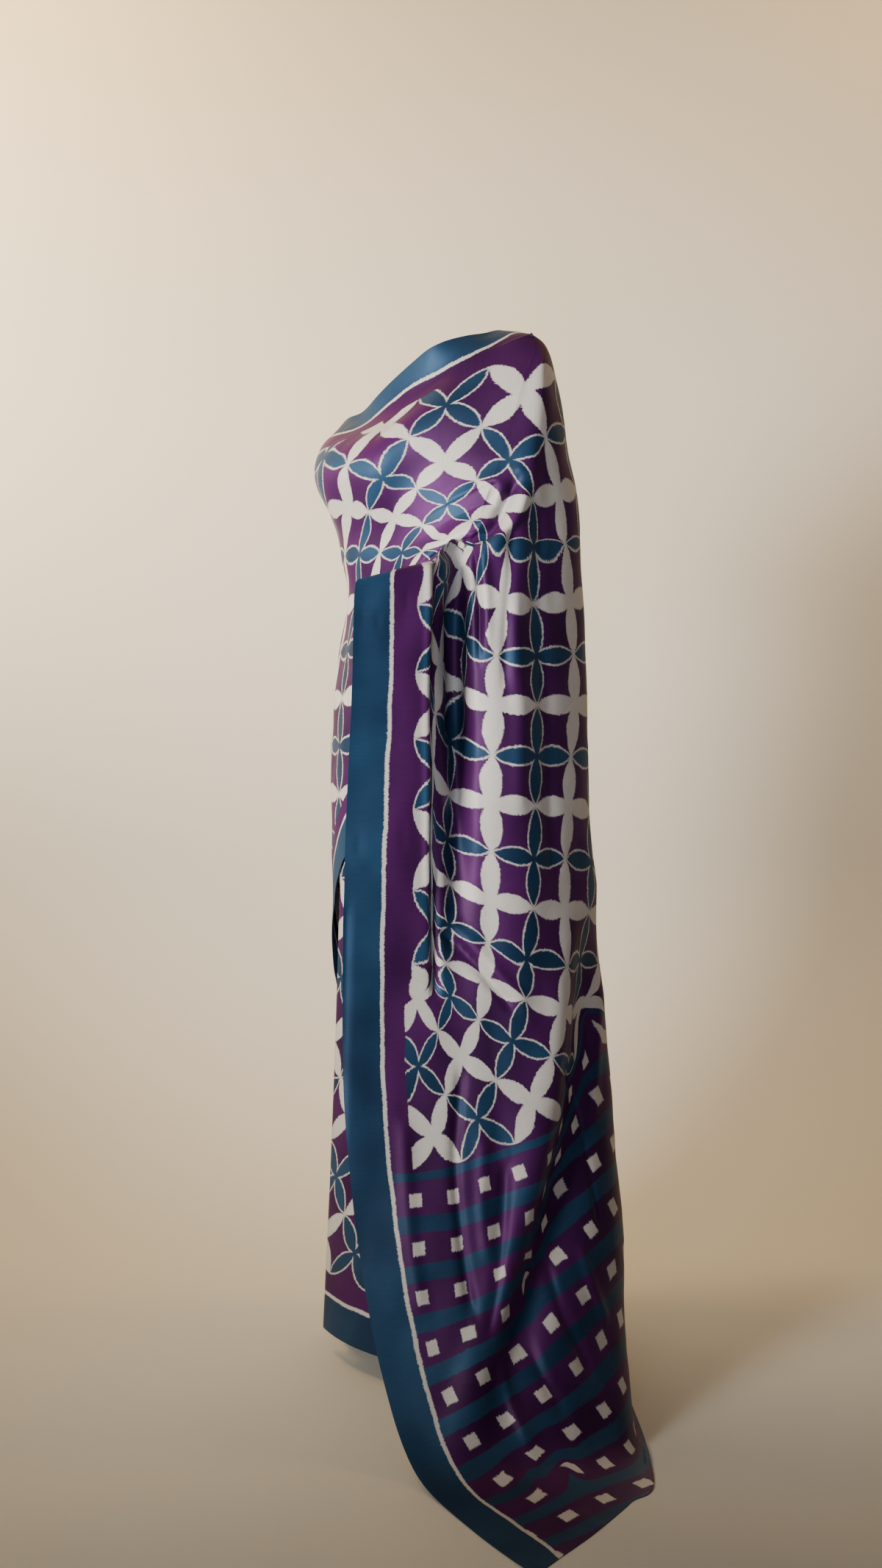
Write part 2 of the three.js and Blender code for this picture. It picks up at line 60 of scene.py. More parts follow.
# The pattern: borders, the petal lattice of the field and the striped end of the cloth.
BAND = 51.0
LINE = 5.5
FIELD_STARTS = 85.0
REPEAT = 97.0
END_STARTS = 4.5 * REPEAT
STRIPE_PITCH = 65.0
FIRST_STRIPE = END_STARTS + 8
STRIPE_WIDTH = 23.0
FIRST_STRIPE_WIDTH = 12.0
SQUARE = 19.0
SQUARE_PITCH = 59.0
FIRST_SQUARE = 96.0

# Shares of a petal's length: its half width, how far it runs past the flower's middle, how wide its
# cream outline is, and half the width of each colour's soft edge.
PETAL_HALF_WIDTH = 0.205
PETAL_OVERLAP = 0.06
OUTLINE = 0.038
PETAL_EDGE = 0.008

# Noise drawn on the cloth: its size along the cloth and across it, and its seed. Real silk threads lie
# about 0.15 mm apart; here they are 0.8 to 1.1 mm, as coarse as it takes for them to show.
NOISE = dict(
    warp_slip=(14, 1.1, 3.0), warp_drift=(60, 45, 7.0), weft_slip=(1.1, 14, 5.0), weft_drift=(45, 60, 9.0),
    purple_bath=(240, 180, 13.0), teal_bath=(200, 260, 17.0),
    weft_slub=(0.9, 30, 21.0), warp_slub=(40, 0.8, 23.0), handling=(35, 40, 29.0),
)
# How far the dyed threads slip along and across the cloth, and how far whole bundles drift.
SLIP_ALONG, SLIP_ACROSS, DRIFT = 9.0, 6.5, 5.0

# The form inside the cloth: z, half width, half depth, centre Y.
BODY = np.array([
    (-1150, 182, 126, 4), (-800, 174, 118, 6), (-450, 170, 115, 8), (-200, 170, 116, 8),
    (-100, 156, 109, 6), (0, 131, 98, 2), (50, 136, 114, -6), (100, 145, 126, -17),
    (160, 158, 138, -30), (205, 155, 132, -25), (250, 148, 100, -8), (330, 145, 86, 0),
], float)

# Upright folds of the skirt: angle, width in degrees, depth at the hem.
SKIRT_FOLDS = [
    (58, 9, 7), (84, 12, -6), (112, 11, 9), (146, 13, -7), (178, 12, 9),
    (212, 13, -6), (246, 12, 8), (276, 12, -6), (304, 9, 6),
]

# Pleats: their number, width, distance between layers and step from pleat to pleat at the waist and the
# hem, the first layer's lift off the skirt, and the mean radius they lie on.
PLEATS = dict(
    count=5, width=104, hem_width=118, layer_at_waist=1.55, layer_at_hem=3.1,
    step_at_waist=2, step_at_hem=8, first_lift=4, radius=150,
)

# Stretches on the body: angle, top z, low z, waist share, lift, lift over the pleats.
WINDING = np.array([
    (-250, 6, -1112, .2, 5, 5), (-215, 8, -1106, .25, 5, 5), (-180, 14, -1085, .3, 6, 6),
    (-150, 30, -1010, .36, 6, 6), (-125, 62, -905, .4, 6, 6), (-98, 118, -780, .43, 6, 8),
    (-70, 182, -640, .47, 6, 12), (-42, 244, -505, .52, 6, 20), (-14, 262, -390, .57, 6, 27),
    (18, 322, -285, .62, 6, 29),
], float)
HIP_STATIONS = 4
PLEAT_LIFT_ENDS_Z = 90.0

# The cloth between the last station on the body and the arm: x, y, z from the upper border down.
BRIDGE = np.array([
    (97, -68, 352), (122, -66, 314), (129, -108, 242), (126, -116, 162),
    (122, -118, 86), (118, -140, 4), (114, -174, -58), (104, -212, -112),
], float)

# The pallu's named lines in its own plan: along, out, z. A z of 0 stands for lying on the floor.
SHOULDER_LINES = dict(
    arm_front=[
        (149, 125, 366), (146, 146, 338), (130, 165, 300), (100, 188, 205), (78, 206, 140), (62, 215, 81),
    ],
    arm_near=[
        (147, 117, 369), (158, 136, 342), (160, 158, 300), (152, 184, 203), (138, 197, 140),
        (125, 204, 78),
    ],
    side=[
        (141, 109, 372), (166, 110, 344), (179, 108, 300), (195, 108, 200), (204, 110, 135),
        (208, 114, 72),
    ],
    back_middle=[
        (124, 91, 376), (156, 72, 345), (170, 48, 300), (180, 30, 200), (186, 24, 130), (191, 18, 64),
    ],
    back_edge=[
        (104, 71, 379), (128, 45, 348), (142, 8, 300), (132, -22, 200), (128, -30, 130), (125, -36, 62),
    ],
)
FALL_LINES = dict(
    lower_border=[
        (-101, 300, 22), (-106, 308, -14), (-109, 307, -150), (-118, 304, -350), (-121, 303, -520),
        (-118, 315, -700), (-97, 347, -880), (-63, 400, -1030), (-14, 474, 0), (62, 606, 0), (119, 694, 0),
    ],
    panel_back=[
        (0, 262, 48), (-2, 274, 12), (-4, 272, -150), (-6, 275, -350), (-6, 280, -520), (-4, 303, -700),
        (12, 350, -880), (40, 404, -1030), (75, 474, 0), (118, 580, 0), (150, 652, 0),
    ],
    recess=[
        (33, 232, 64), (30, 216, 28), (28, 192, -150), (30, 230, -350), (33, 266, -520), (38, 298, -700),
        (54, 346, -880), (82, 399, -1030), (112, 466, 0), (150, 556, 0), (176, 618, 0),
    ],
    arm_front=[
        (62, 215, 81), (62, 226, 44), (62, 230, -150), (66, 243, -350), (72, 264, -520), (80, 294, -700),
        (98, 337, -880), (124, 389, -1030), (152, 455, 0), (180, 536, 0), (199, 586, 0),
    ],
    arm_near=[
        (125, 204, 78), (126, 210, 40), (129, 217, -150), (133, 228, -350), (141, 246, -520),
        (152, 272, -700), (168, 308, -880), (188, 358, -1030), (208, 424, 0), (230, 480, 0), (246, 512, 0),
    ],
    side=[
        (208, 114, 72), (211, 113, 32), (216, 112, -150), (224, 120, -350), (241, 136, -520),
        (252, 162, -700), (263, 204, -880), (265, 262, -1030), (268, 346, 0), (277, 402, 0), (283, 440, 0),
    ],
    back_middle=[
        (191, 18, 64), (196, 14, 28), (205, 0, -150), (212, 0, -350), (224, 2, -520), (236, 12, -700),
        (246, 30, -880), (252, 58, -1030), (256, 92, 0), (260, 112, 0), (262, 130, 0),
    ],
    back_edge=[
        (125, -36, 62), (125, -44, 26), (126, -80, -150), (128, -110, -350), (132, -130, -520),
        (137, -146, -700), (142, -160, -880), (146, -172, -1030), (150, -184, 0), (152, -192, 0),
        (154, -200, 0),
    ],
)
FOREARM_LEVEL, FREE_LEVEL, BEND_LEVEL, FLOOR_LEVEL = 1, 4, 7, 8
PANEL_LINE, ARM_LINE, SIDE_LINE = 1, 3, 5
PANEL_WIDTH = 108.0
NECKLINE_TURNED_IN = 16.0
FALL_ROWS_PER_LEVEL = [1, 2, 2, 3, 4, 5, 4, 3, 2, 2]
FALL_COLUMNS_PER_LINE = [6, 4, 4, 7, 8, 6, 6]
SHOULDER_ROWS_PER_LEVEL = [1, 1, 2, 2, 2]
SHOULDER_FINER = 3
MEETS_FALL_FROM = 0.4
# Steps for each station of the winding: round the hips, across the bust, and over to the arm.
HIP_STEPS, BUST_STEPS, BRIDGE_STEPS = 4, 3, 3
# The shoulder's columns are thinned to these steps where the winding meets it.
COARSE_RIDGE_STEP, RIDGE_STEP = 9, 2

# The long fold of the fall: z, along, ridge, valley.
LONG_FOLD = np.array([
    (-1135, 52, 0, 0), (-1090, 62, 5, 7), (-1000, 90, 11, 16), (-880, 132, 14, 22),
    (-700, 180, 13, 20), (-540, 200, 8, 12), (-430, 212, 0, 0),
], float)
LONG_FOLD_HALF_WIDTH = 29.0
LONG_FOLD_ENDS_AT_LINE = 5.4
RIDGE_TO_MIDDLE = 0.8
# Upright folds behind the left side: line, width, depth.
BACK_FOLDS = [(5.45, .22, -15), (5.95, .2, 12), (6.38, .18, -14), (6.72, .15, 10)]

# Creases seen from the pallu's side: a path of (along, z), half width, depth (a ridge is negative). Each
# point of a path becomes this many, on a smooth curve.
CREASE_POINTS = 6
CREASES = {
    "under_bust": ([(-104, 40), (-60, 52), (-20, 46), (30, 50), (64, 64)], 9, 12),
    "under_bust_upper": ([(-95, 96), (-50, 80), (0, 74)], 10, 4),
    "bust_fold_line": ([(-88, 154), (-30, 160), (30, 152), (92, 148)], 2.2, 1.6),
    "bust_fold_low": ([(-70, 138), (0, 134), (60, 140)], 2.0, 1.0),
    "chest_upright": ([(76, 258), (80, 210), (74, 168)], 3.0, 1.4),
    "armpit": ([(122, 168), (104, 124), (84, 88), (48, 62), (16, 52)], 10, 15),
    "armpit_ridge": ([(134, 150), (118, 104), (92, 68), (64, 46)], 8, -7),
    "armpit_hollow": ([(92, 150), (84, 114), (66, 84)], 20, 11),
    "armpit_second": ([(92, 150), (72, 112), (50, 88)], 7, 6),
    "sleeve_hang_one": ([(112, 96), (108, 30), (102, -60), (100, -150)], 8, 5),
    "sleeve_hang_two": ([(150, 130), (148, 40), (140, -60)], 9, 4),
    "elbow_overlap": ([(56, 64), (60, 20), (64, -40), (62, -98)], 5, 7),
    "elbow_ridge": ([(68, 66), (72, 20), (76, -40), (74, -90)], 7, -4),
    "panel_fold": ([(8, 42), (6, -60), (4, -200), (3, -400), (4, -560)], 6, 12),
    "panel_roll": ([(-5, 40), (-7, -80), (-8, -240), (-7, -420)], 5, -3.5),
    "recess_hollow": ([(30, 20), (26, -60), (28, -160), (22, -240)], 16, 10),
    "cross_crease": ([(4, -462), (30, -486), (56, -512), (84, -544), (112, -574)], 5, 9),
    "cross_ridge": ([(14, -448), (44, -478), (74, -508), (110, -548), (138, -580)], 8, -5),
    "panel_first": ([(-100, -14), (-62, -8), (-20, -20)], 1.8, 1.3),
    "panel_second": ([(-102, -36), (-60, -46), (-14, -40)], 2.0, 1.4),
    "panel_third": ([(-110, -352), (-70, -342), (-30, -332)], 2.0, 1.6),
    "panel_fourth": ([(-112, -372), (-86, -380), (-60, -372)], 1.8, 1.0),
    "arm_pucker": ([(152, -276), (160, -296), (176, -312)], 2.5, 2.6),
    "arm_upright": ([(104, 60), (112, -60), (120, -200), (118, -330)], 12, -4),
    "arm_upright_hollow": ([(146, 40), (156, -120), (164, -300), (168, -420)], 12, 4),
    "sleeve_soft": ([(150, 240), (162, 160), (168, 60), (172, -60)], 12, 3),
    "lower_left_one": ([(40, -640), (30, -760), (38, -860), (52, -960)], 8, 6),
    "lower_left_two": ([(70, -720), (66, -820), (74, -900)], 10, -5),
    "lower_left_three": ([(98, -760), (92, -840), (84, -920), (70, -990)], 9, 6),
    "lower_panel": ([(-40, -700), (-32, -840), (-14, -960)], 10, -4),
    "rear_one": ([(176, -640), (196, -720), (214, -800), (230, -880)], 4, 3),
    "rear_two": ([(236, -560), (226, -680), (216, -760)], 9, -5),
    "rear_three": ([(150, -900), (172, -960), (196, -1010), (216, -1050)], 7, 4),
    "rear_four": ([(196, -880), (214, -940), (240, -1000)], 6, -4),
    "train_one": ([(84, -1010), (104, -1060), (136, -1110)], 8, -5),
    "train_two": ([(120, -990), (150, -1040), (184, -1090)], 8, 4),
    "skirt_front_one": ([(-116, -420), (-122, -700), (-128, -1080)], 6, 4),
}

# Where the flowers lie, read off the photograph: along and z on the cloth, with their place in the
# lattice counted in repeats along the cloth and across it.
FLOWERS = np.array([
    (-145, 212, -6, 9.5), (-70, 236, -5, 9.5), (18, 255, -4, 9.5), (119, 267, -3, 9.5),
    (-117, 111, -6, 8.5), (-67, 150, -5, 8.5), (14, 166, -4, 8.5), (101, 176, -3, 8.5),
    (29, 71, -4, 7.5), (180, 136, -2, 8.5), (120, 49, -2, 7.5), (198, -19, -1, 7.5),
    (137, -96, -1, 6.5), (206, -167, 0, 6.5), (145, -236, 0, 5.5), (138, -382, 1, 4.5),
    (69, -31, -2, 6.5), (80, -166, -1, 5.5), (87, -306, 0, 4.5), (75, -440, 1, 3.5),
    (18, -225, -1, 4.5), (14, -345, 0, 3.5), (122, -520, 2, 3.5), (104, -618, 3, 2.5),
    (130, -696, 4, 2.5), (54, -715, 4, 1.5), (29, -635, 3, 1.5), (8, -736, 4, .5),
    (188, -533, 2.5, 4), (-32, -202, -1.5, 0), (-32, -301, -.5, 0), (-32, -409, .5, 0),
    (-36, -514, 1.5, 0), (-36, -603, 2.5, 0), (-36, -696, 3.5, 0),
], float)
# The same for the small squares of the end: along, z, row from the first stripe, place from the border.
SQUARES = np.array([
    (-22, -814, 1, 0), (-19, -874, 2, 0), (-16, -933, 3, 0), (33, -814, 1, 1), (65, -795, 1, 2),
    (113, -784, 1, 3), (35, -873, 2, 1), (82, -857, 2, 2), (36, -924, 3, 1), (-3, -992, 4, 0),
    (40, -975, 4, 1), (172, -820, 3, 5), (221, -792, 3, 6), (121, -921, 4, 3), (167, -900, 4, 4),
    (213, -873, 4, 5), (225, -707, 2, 7), (226, -612, 1, 8), (19, -1043, 5, 0), (60, -1019, 5, 1),
    (111, -1003, 5, 2), (155, -973, 5, 3), (201, -949, 5, 4), (251, -931, 5, 5), (51, -1093, 6, 0),
    (94, -1077, 6, 1), (142, -1051, 6, 2), (88, -1131, 7, 0), (131, -1118, 7, 1), (179, -1102, 7, 2),
    (230, -1087, 7, 3), (131, -1133, 8, 0), (175, -1133, 8, 1), (220, -1133, 8, 2), (173, -1133, 9, 0),
], float)

# Laying the cloth flat. Stiffness of the stretches that fold out of sight, against 1 for the rest:
# behind the forearm panel, in the long fold, and behind the left side.
TUCKED_STIFFNESS, FOLD_STIFFNESS, BACK_STIFFNESS = 0.03, 0.05, 0.1
TUCKED_TO_LINE, TUCKED_TO_Z = 1.2, -540
FOLD_TOP_Z, FOLD_LOW_Z, FOLD_SHIFT, FOLD_REACH = -560, -960, 14, 22
BACK_TO_ALONG, BACK_TO_OUT = 262, 100
# How hard a motif, an edge that has to be straight, the forearm panel and an edge out of sight are pinned.
MOTIF_PULL, EDGE_PULL, PANEL_PULL, LOOSE_PULL = 6.0, 30.0, 10.0, 0.01
# A motif is pinned to the face nearest the view; each share it lies outside a face counts this far back.
OUTSIDE_COSTS = 3000.0
# Turns that place the cloth by its pins alone, then turns that lay it flat, and each solution's limits.
SEEN_TURNS, FLAT_TURNS = 6, 60
SOLVER_ROUNDS, SOLVER_MISS = 400, 1e-4
# A face whose flat area is this many times its surface has cloth tucked out of sight.
TUCKED_FROM = 1.6

# Steps of the skirt from waist to hem and round it, and of the pleats down and across one layer.
SKIRT_STEPS, PLEAT_STEPS = (20, 26), (16, 3)

# Unevenness all over the cloth: seed, size, height; and how many waves it is made of.
UNEVENNESS = [(5, 130, 2.0), (8, 52, 0.6)]
SKIRT_UNEVENNESS = (11, 140, 1.2)
WAVES = 26

TEAL, TEAL_DEEP = "#234464", "#162E4A"
PURPLE, PURPLE_DEEP = "#4A1A56", "#33103F"
CREAM = "#BEBBB8"
BOARD = "#CFCEC7"

# The skirt's repeats round, and how many repeats before the chosen flower the skirt and the pleats begin.
SKIRT_REPEATS, SKIRT_FROM_FLOWER, PLEATS_FROM_FLOWER = 10, 20, 40

# The photograph's view: level, square to the pallu, with the body's middle right of the centre.
EYE_ALONG, EYE_OUT, EYE_Z = 11.0, 3000.0, 15.0
LENS, SENSOR_HEIGHT, SHIFT_UP = 46.03, 36, -0.132
# The sweep behind the garment, in metres: front edge, start of the curve, its radius, height, half width.
SWEEP_FRONT, SWEEP_CURVE_FROM, SWEEP_RADIUS, SWEEP_HEIGHT, SWEEP_HALF_WIDTH = 5.0, -0.4, 0.6, 5.0, 7.0
SWEEP_STEPS = 12


# Smooth curves and grids

def smooth_at(rows, column, places):
    """A column of a table whose first column rises, smoothly between its rows."""
    keys, values = rows[:, 0], rows[:, column]
    places = np.asarray(places, float)
    i = np.clip(np.searchsorted(keys, places, side="right") - 1, 0, len(keys) - 2)
    last = len(keys) - 1

    def slope(k):
        a, b = np.maximum(k - 1, 0), np.minimum(k + 1, last)
        return (values[b] - values[a]) / (keys[b] - keys[a])

    span = keys[i + 1] - keys[i]
    t = np.clip((places - keys[i]) / span, 0, 1)
    return hermite(values[i], values[i + 1], slope(i) * span, slope(i + 1) * span, t)


def hermite(a, b, slope_a, slope_b, t):
    """A smooth value between a and b, t of the way, that leaves and arrives at the given slopes."""
    t2, t3 = t * t, t * t * t
    return (a * (2 * t3 - 3 * t2 + 1) + b * (3 * t2 - 2 * t3)
            + slope_a * (t3 - 2 * t2 + t) + slope_b * (t3 - t2))


def smoothstep(x, low, high):
    """0 up to low, 1 from high, and smooth between."""
    t = np.clip((np.asarray(x, float) - low) / (high - low), 0, 1)
    return t * t * (3 - 2 * t)


def spline_weights(places, count):
    """The weight of each of count points at each place along a smooth curve through them."""
    points = np.eye(count)
    before = 2 * points[0] - points[1]
    after = 2 * points[-1] - points[-2]
    padded = np.vstack([before, points, after])
    places = np.asarray(places, float)
    i = np.clip(np.floor(places).astype(int), 0, count - 2)
    t = (places - i)[:, None]
    slope_a = (padded[i + 2] - padded[i]) / 2
    slope_b = (padded[i + 3] - padded[i + 1]) / 2
    return hermite(padded[i + 1], padded[i + 2], slope_a, slope_b, t)


def through(table, rows, columns):
    """The smooth surface through a table of points or values, at places along its rows and columns."""
    down = spline_weights(rows, table.shape[0])
    across = spline_weights(columns, table.shape[1])
    return np.einsum("ai,bj,ijk->abk", down, across, table)


def steps_through(steps_per_span, finer=1):
    """Places along a row of spans, each with its own number of steps."""
    places = [0.0]
    for span, steps in enumerate(steps_per_span):
        places += [span + (k + 1) / (steps * finer) for k in range(steps * finer)]
    return np.array(places)


def grid_normals(grid):
    """The unit normal at each point of a grid."""
    across = np.gradient(grid, axis=1)
    down = np.gradient(grid, axis=0)
    normal = np.cross(across, down)
    return normal / np.maximum(np.linalg.norm(normal, axis=2, keepdims=True), 1e-9)


def path_length(points):
    """The length of a path up to each of its points."""
    steps = np.linalg.norm(np.diff(points, axis=0), axis=1)
    return np.concatenate([[0], np.cumsum(steps)])


# The body stretches

def skirt_fold(angle, z):
    """How far the skirt's upright folds stand out, growing towards the hem."""
    towards_hem = smoothstep(-z, 60, WAIST_TO_FLOOR)
    depth = np.zeros(np.broadcast(angle, z).shape)
    for at, width, hem_depth in SKIRT_FOLDS:
        away = ((angle - at + 540) % 360 - 180) / width
        depth += hem_depth * towards_hem * np.exp(-away * away)
    return depth


def on_body(angle, z, lift):
    """A point on the form inside the cloth, moved out from it by lift; angle 0 is the front."""
    angle, z, lift = np.broadcast_arrays(np.asarray(angle, float), z, lift)
    half_width, half_depth, centre = (smooth_at(BODY, k, z) for k in (1, 2, 3))
    turn = np.radians(angle)
    outward = np.stack([np.sin(turn) / half_width, -np.cos(turn) / half_depth], axis=-1)
    outward /= np.linalg.norm(outward, axis=-1, keepdims=True)
    x = half_width * np.sin(turn) + lift * outward[..., 0]
    y = centre - half_depth * np.cos(turn) + lift * outward[..., 1]
    return np.stack([x, y, z], axis=-1)


def wound_point(angle, share):
    """The winding on the body; share runs from the upper border at 0 to the lower border at 1."""
    top, low, waist, lift, pleat_lift = (smooth_at(WINDING, k, angle) for k in (1, 2, 3, 4, 5))
    z = np.where(share < waist, top * (1 - share / waist), low * (share - waist) / (1 - waist))
    over_pleats = 1 - smoothstep(z, 0, PLEAT_LIFT_ENDS_Z)
    return on_body(angle, z, lift + (pleat_lift - lift) * over_pleats + skirt_fold(angle, z))


def from_plan(lines):
    """Points given in the pallu's plan, as a grid with the lines for its columns."""
    plan = np.array(list(lines), float)
    along, out, z = plan[..., 0], plan[..., 1], plan[..., 2]
    x = along * math.cos(PALLU_TURN) + out * math.sin(PALLU_TURN)
    y = along * math.sin(PALLU_TURN) - out * math.cos(PALLU_TURN)
    return np.stack([x, y, np.where(z == 0, ON_FLOOR_Z, z)], axis=-1).transpose(1, 0, 2)


def along_of(points):
    """The place of points from left to right in the pallu's plan."""
    return points[..., 0] * math.cos(PALLU_TURN) + points[..., 1] * math.sin(PALLU_TURN)


def out_of(points):
    """How far points stand towards the pallu's side."""
    return points[..., 0] * math.sin(PALLU_TURN) - points[..., 1] * math.cos(PALLU_TURN)


def fall_grid(finer):
    """The cloth that hangs from the arm down to the floor, with its long fold and the folds behind."""
    rows = steps_through(FALL_ROWS_PER_LEVEL, finer)
    columns = steps_through(FALL_COLUMNS_PER_LINE, finer)
    smooth = through(from_plan(FALL_LINES.values()), rows, columns)
    outward = -grid_normals(smooth)
    z = smooth[..., 2]
    away = (along_of(smooth) - smooth_at(LONG_FOLD, 1, z)) / LONG_FOLD_HALF_WIDTH
    ridge = smooth_at(LONG_FOLD, 2, z) * np.exp(-(away + RIDGE_TO_MIDDLE) ** 2)
    valley = smooth_at(LONG_FOLD, 3, z) * np.exp(-(away - RIDGE_TO_MIDDLE) ** 2)
    folded = (z < LONG_FOLD[-1, 0]) & (columns[None, :] < LONG_FOLD_ENDS_AT_LINE)
    lift = np.where(folded, ridge - valley, 0)
    hangs = smoothstep(rows, FOREARM_LEVEL, FREE_LEVEL) * (1 - smoothstep(rows, BEND_LEVEL, FLOOR_LEVEL))
    for line, width, depth in BACK_FOLDS:
        lift += depth * hangs[:, None] * np.exp(-((columns[None, :] - line) / width) ** 2)
    return smooth + outward * lift[..., None], rows, columns


def shoulder_grid(fall, finer):
    """The cloth over the shoulder and upper arm; its last row is brought onto the fall's first."""
    rows = steps_through(SHOULDER_ROWS_PER_LEVEL, finer * (SHOULDER_FINER if finer > 1 else 1))
    columns = steps_through(FALL_COLUMNS_PER_LINE[ARM_LINE:], finer)
    grid = through(from_plan(SHOULDER_LINES.values()), rows, columns)
    miss = fall[0, -len(columns):] - grid[-1]
    share = np.linspace(0, 1, len(rows))
    return grid + miss[None] * smoothstep(share, MEETS_FALL_FROM, 1)[:, None, None], rows, columns


def arm_line(shoulder, fall, first_arm_column, ridge_step):
    """The line the cloth hangs over, from the upper border to the lower one, and the next points down."""
    ridge = np.arange(shoulder.shape[1] - 1, 0, -ridge_step)
    forearm = np.arange(first_arm_column - 1, -1, -1)
    points = np.concatenate([shoulder[0, ridge], shoulder[:, 0], fall[0, forearm]])
    hanging = np.concatenate([shoulder[1, ridge], shoulder[:, 1], fall[1, forearm]])
    return points, hanging


def body_grid(points, finer):
    """The winding from the right hip's back to the arm line; its columns end on those points."""
    lengths = path_length(points)
    share = (lengths / lengths[-1])[:, None]
    stations = WINDING[:, 0]
    last = len(stations) - 1
    places = np.concatenate([
        steps_through([HIP_STEPS] * HIP_STATIONS + [BUST_STEPS] * (last - HIP_STATIONS), finer),
        last + steps_through([BRIDGE_STEPS, BRIDGE_STEPS], finer)[1:],
    ])
    on = places[places <= last]
    angles = np.interp(on, np.arange(last + 1), stations)[None, :]
    wound = wound_point(angles, share)
    bridge = spline_weights(share[:, 0] * (len(BRIDGE) - 1), len(BRIDGE)) @ BRIDGE
    before_last, at_last = (wound_point(stations[k], share[:, 0]) for k in (last - 1, last))
    ends = np.stack([before_last, at_last, bridge, points], axis=1)
    off = np.einsum("bj,ajk->abk", spline_weights(places[places > last] - last + 1, 4), ends)
    return np.concatenate([wound, off], axis=1), places


# The flat place of each point of the cloth: along it from a chosen flower, and across it from the
# lower border

def triangles_of(ids):
    """Two triangles for each cell of a grid of vertex numbers."""
    a, b, c, d = ids[:-1, :-1], ids[1:, :-1], ids[1:, 1:], ids[:-1, 1:]
    first = np.stack([a, b, c], axis=-1).reshape(-1, 3)
    second = np.stack([a, c, d], axis=-1).reshape(-1, 3)
    return np.concatenate([first, second])


def solve(entries, diagonal, wanted, start):
    """Solves a sparse symmetric system, given as (rows, columns, values), by conjugate gradients."""
    rows, columns, values = entries

    def times(x):
        return np.bincount(rows, values * x[columns], minlength=len(x))

    x = start.copy()
    miss = wanted - times(x)
    scaled = miss / diagonal
    step = scaled.copy()
    size = miss @ scaled
    for _ in range(SOLVER_ROUNDS):
        if np.abs(miss).max() < SOLVER_MISS:
            break
        moved = times(step)
        share = size / (step @ moved)
        x += share * step
        miss -= share * moved
        scaled = miss / diagonal
        before, size = size, miss @ scaled
        step = scaled + step * size / before
    return x


def flatten(points, faces, stiffness, seen_pins, edge_pins):
    """Lays the cloth flat with as little stretch as it can, with pinned points near where they are pinned.

    A seen pin is (three vertices, three shares, (along, across), pull), and an edge pin is (vertices,
    across, pull). Each turn finds how every triangle lies and then the places that suit all.
    """
    count = len(points)
    a, b, c = (points[faces[:, k]] for k in range(3))
    base = np.linalg.norm(b - a, axis=1)
    along = ((c - a) * (b - a)).sum(1) / base
    height = np.sqrt(np.maximum(((c - a) ** 2).sum(1) - along ** 2, 1e-6))
    zero = np.zeros_like(base)
    corners = [(zero, zero), (base, zero), (along, height)]
    flat = np.stack([np.stack(corner, 1) for corner in corners], 1)
    area = base * height / 2
    rims, shared = [], []
    for k in range(3):
        i, j, opposite = faces[:, k], faces[:, (k + 1) % 3], (k + 2) % 3
        from_opposite = flat - flat[:, [opposite]]
        u, v = from_opposite[:, k], from_opposite[:, (k + 1) % 3]
        weight = np.clip((u * v).sum(1) / (2 * area), 0.05, 20) * stiffness
        rims.append((i, j, weight, flat[:, k] - flat[:, (k + 1) % 3]))
        shared += [(i, i, weight), (j, j, weight), (i, j, -weight), (j, i, -weight)]
    everywhere = np.arange(count)
    shared.append((everywhere, everywhere, np.full(count, 1e-7)))
    systems = [list(shared), list(shared)]
    pulls = np.zeros((count, 2))
    for vertices, shares, place, weight in seen_pins:
        for axis in range(2):
            weights = weight * np.outer(shares, shares).ravel()
            systems[axis].append((np.repeat(vertices, 3), np.tile(vertices, 3), weights))
            pulls[vertices, axis] += weight * shares * place[axis]
    for vertices, across, weight in edge_pins:
        systems[1].append((vertices, vertices, np.full(len(vertices), weight)))
        pulls[vertices, 1] += weight * across
    solvers = []
    for system in systems:
        entries = tuple(np.concatenate([part[k] for part in system]) for k in range(3))
        on_diagonal = entries[0] == entries[1]
        diagonal = np.bincount(entries[0][on_diagonal], entries[2][on_diagonal], minlength=count)
        solvers.append((entries, diagonal))

    def placed(wanted, start):
        return np.stack([solve(*solvers[axis], wanted[:, axis], start[:, axis]) for axis in range(2)], 1)

    place = np.zeros((count, 2))
    for _ in range(SEEN_TURNS):
        place = placed(pulls, place)
    for _ in range(FLAT_TURNS):
        spread = np.zeros((len(faces), 2, 2))
        for i, j, weight, edge in rims:
            spread += weight[:, None, None] * (place[i] - place[j])[:, :, None] * edge[:, None, :]
        left, _, right = np.linalg.svd(spread)
        mirrored = np.linalg.det(left @ right) < 0
        left[mirrored, :, 1] *= -1
        turn = left @ right
        wanted = pulls.copy()
        for i, j, weight, edge in rims:
            moved = weight[:, None] * np.einsum("fab,fb->fa", turn, edge)
            for axis in range(2):
                wanted[:, axis] += np.bincount(i, moved[:, axis], minlength=count)
                wanted[:, axis] -= np.bincount(j, moved[:, axis], minlength=count)
        place = placed(wanted, place)
    return place


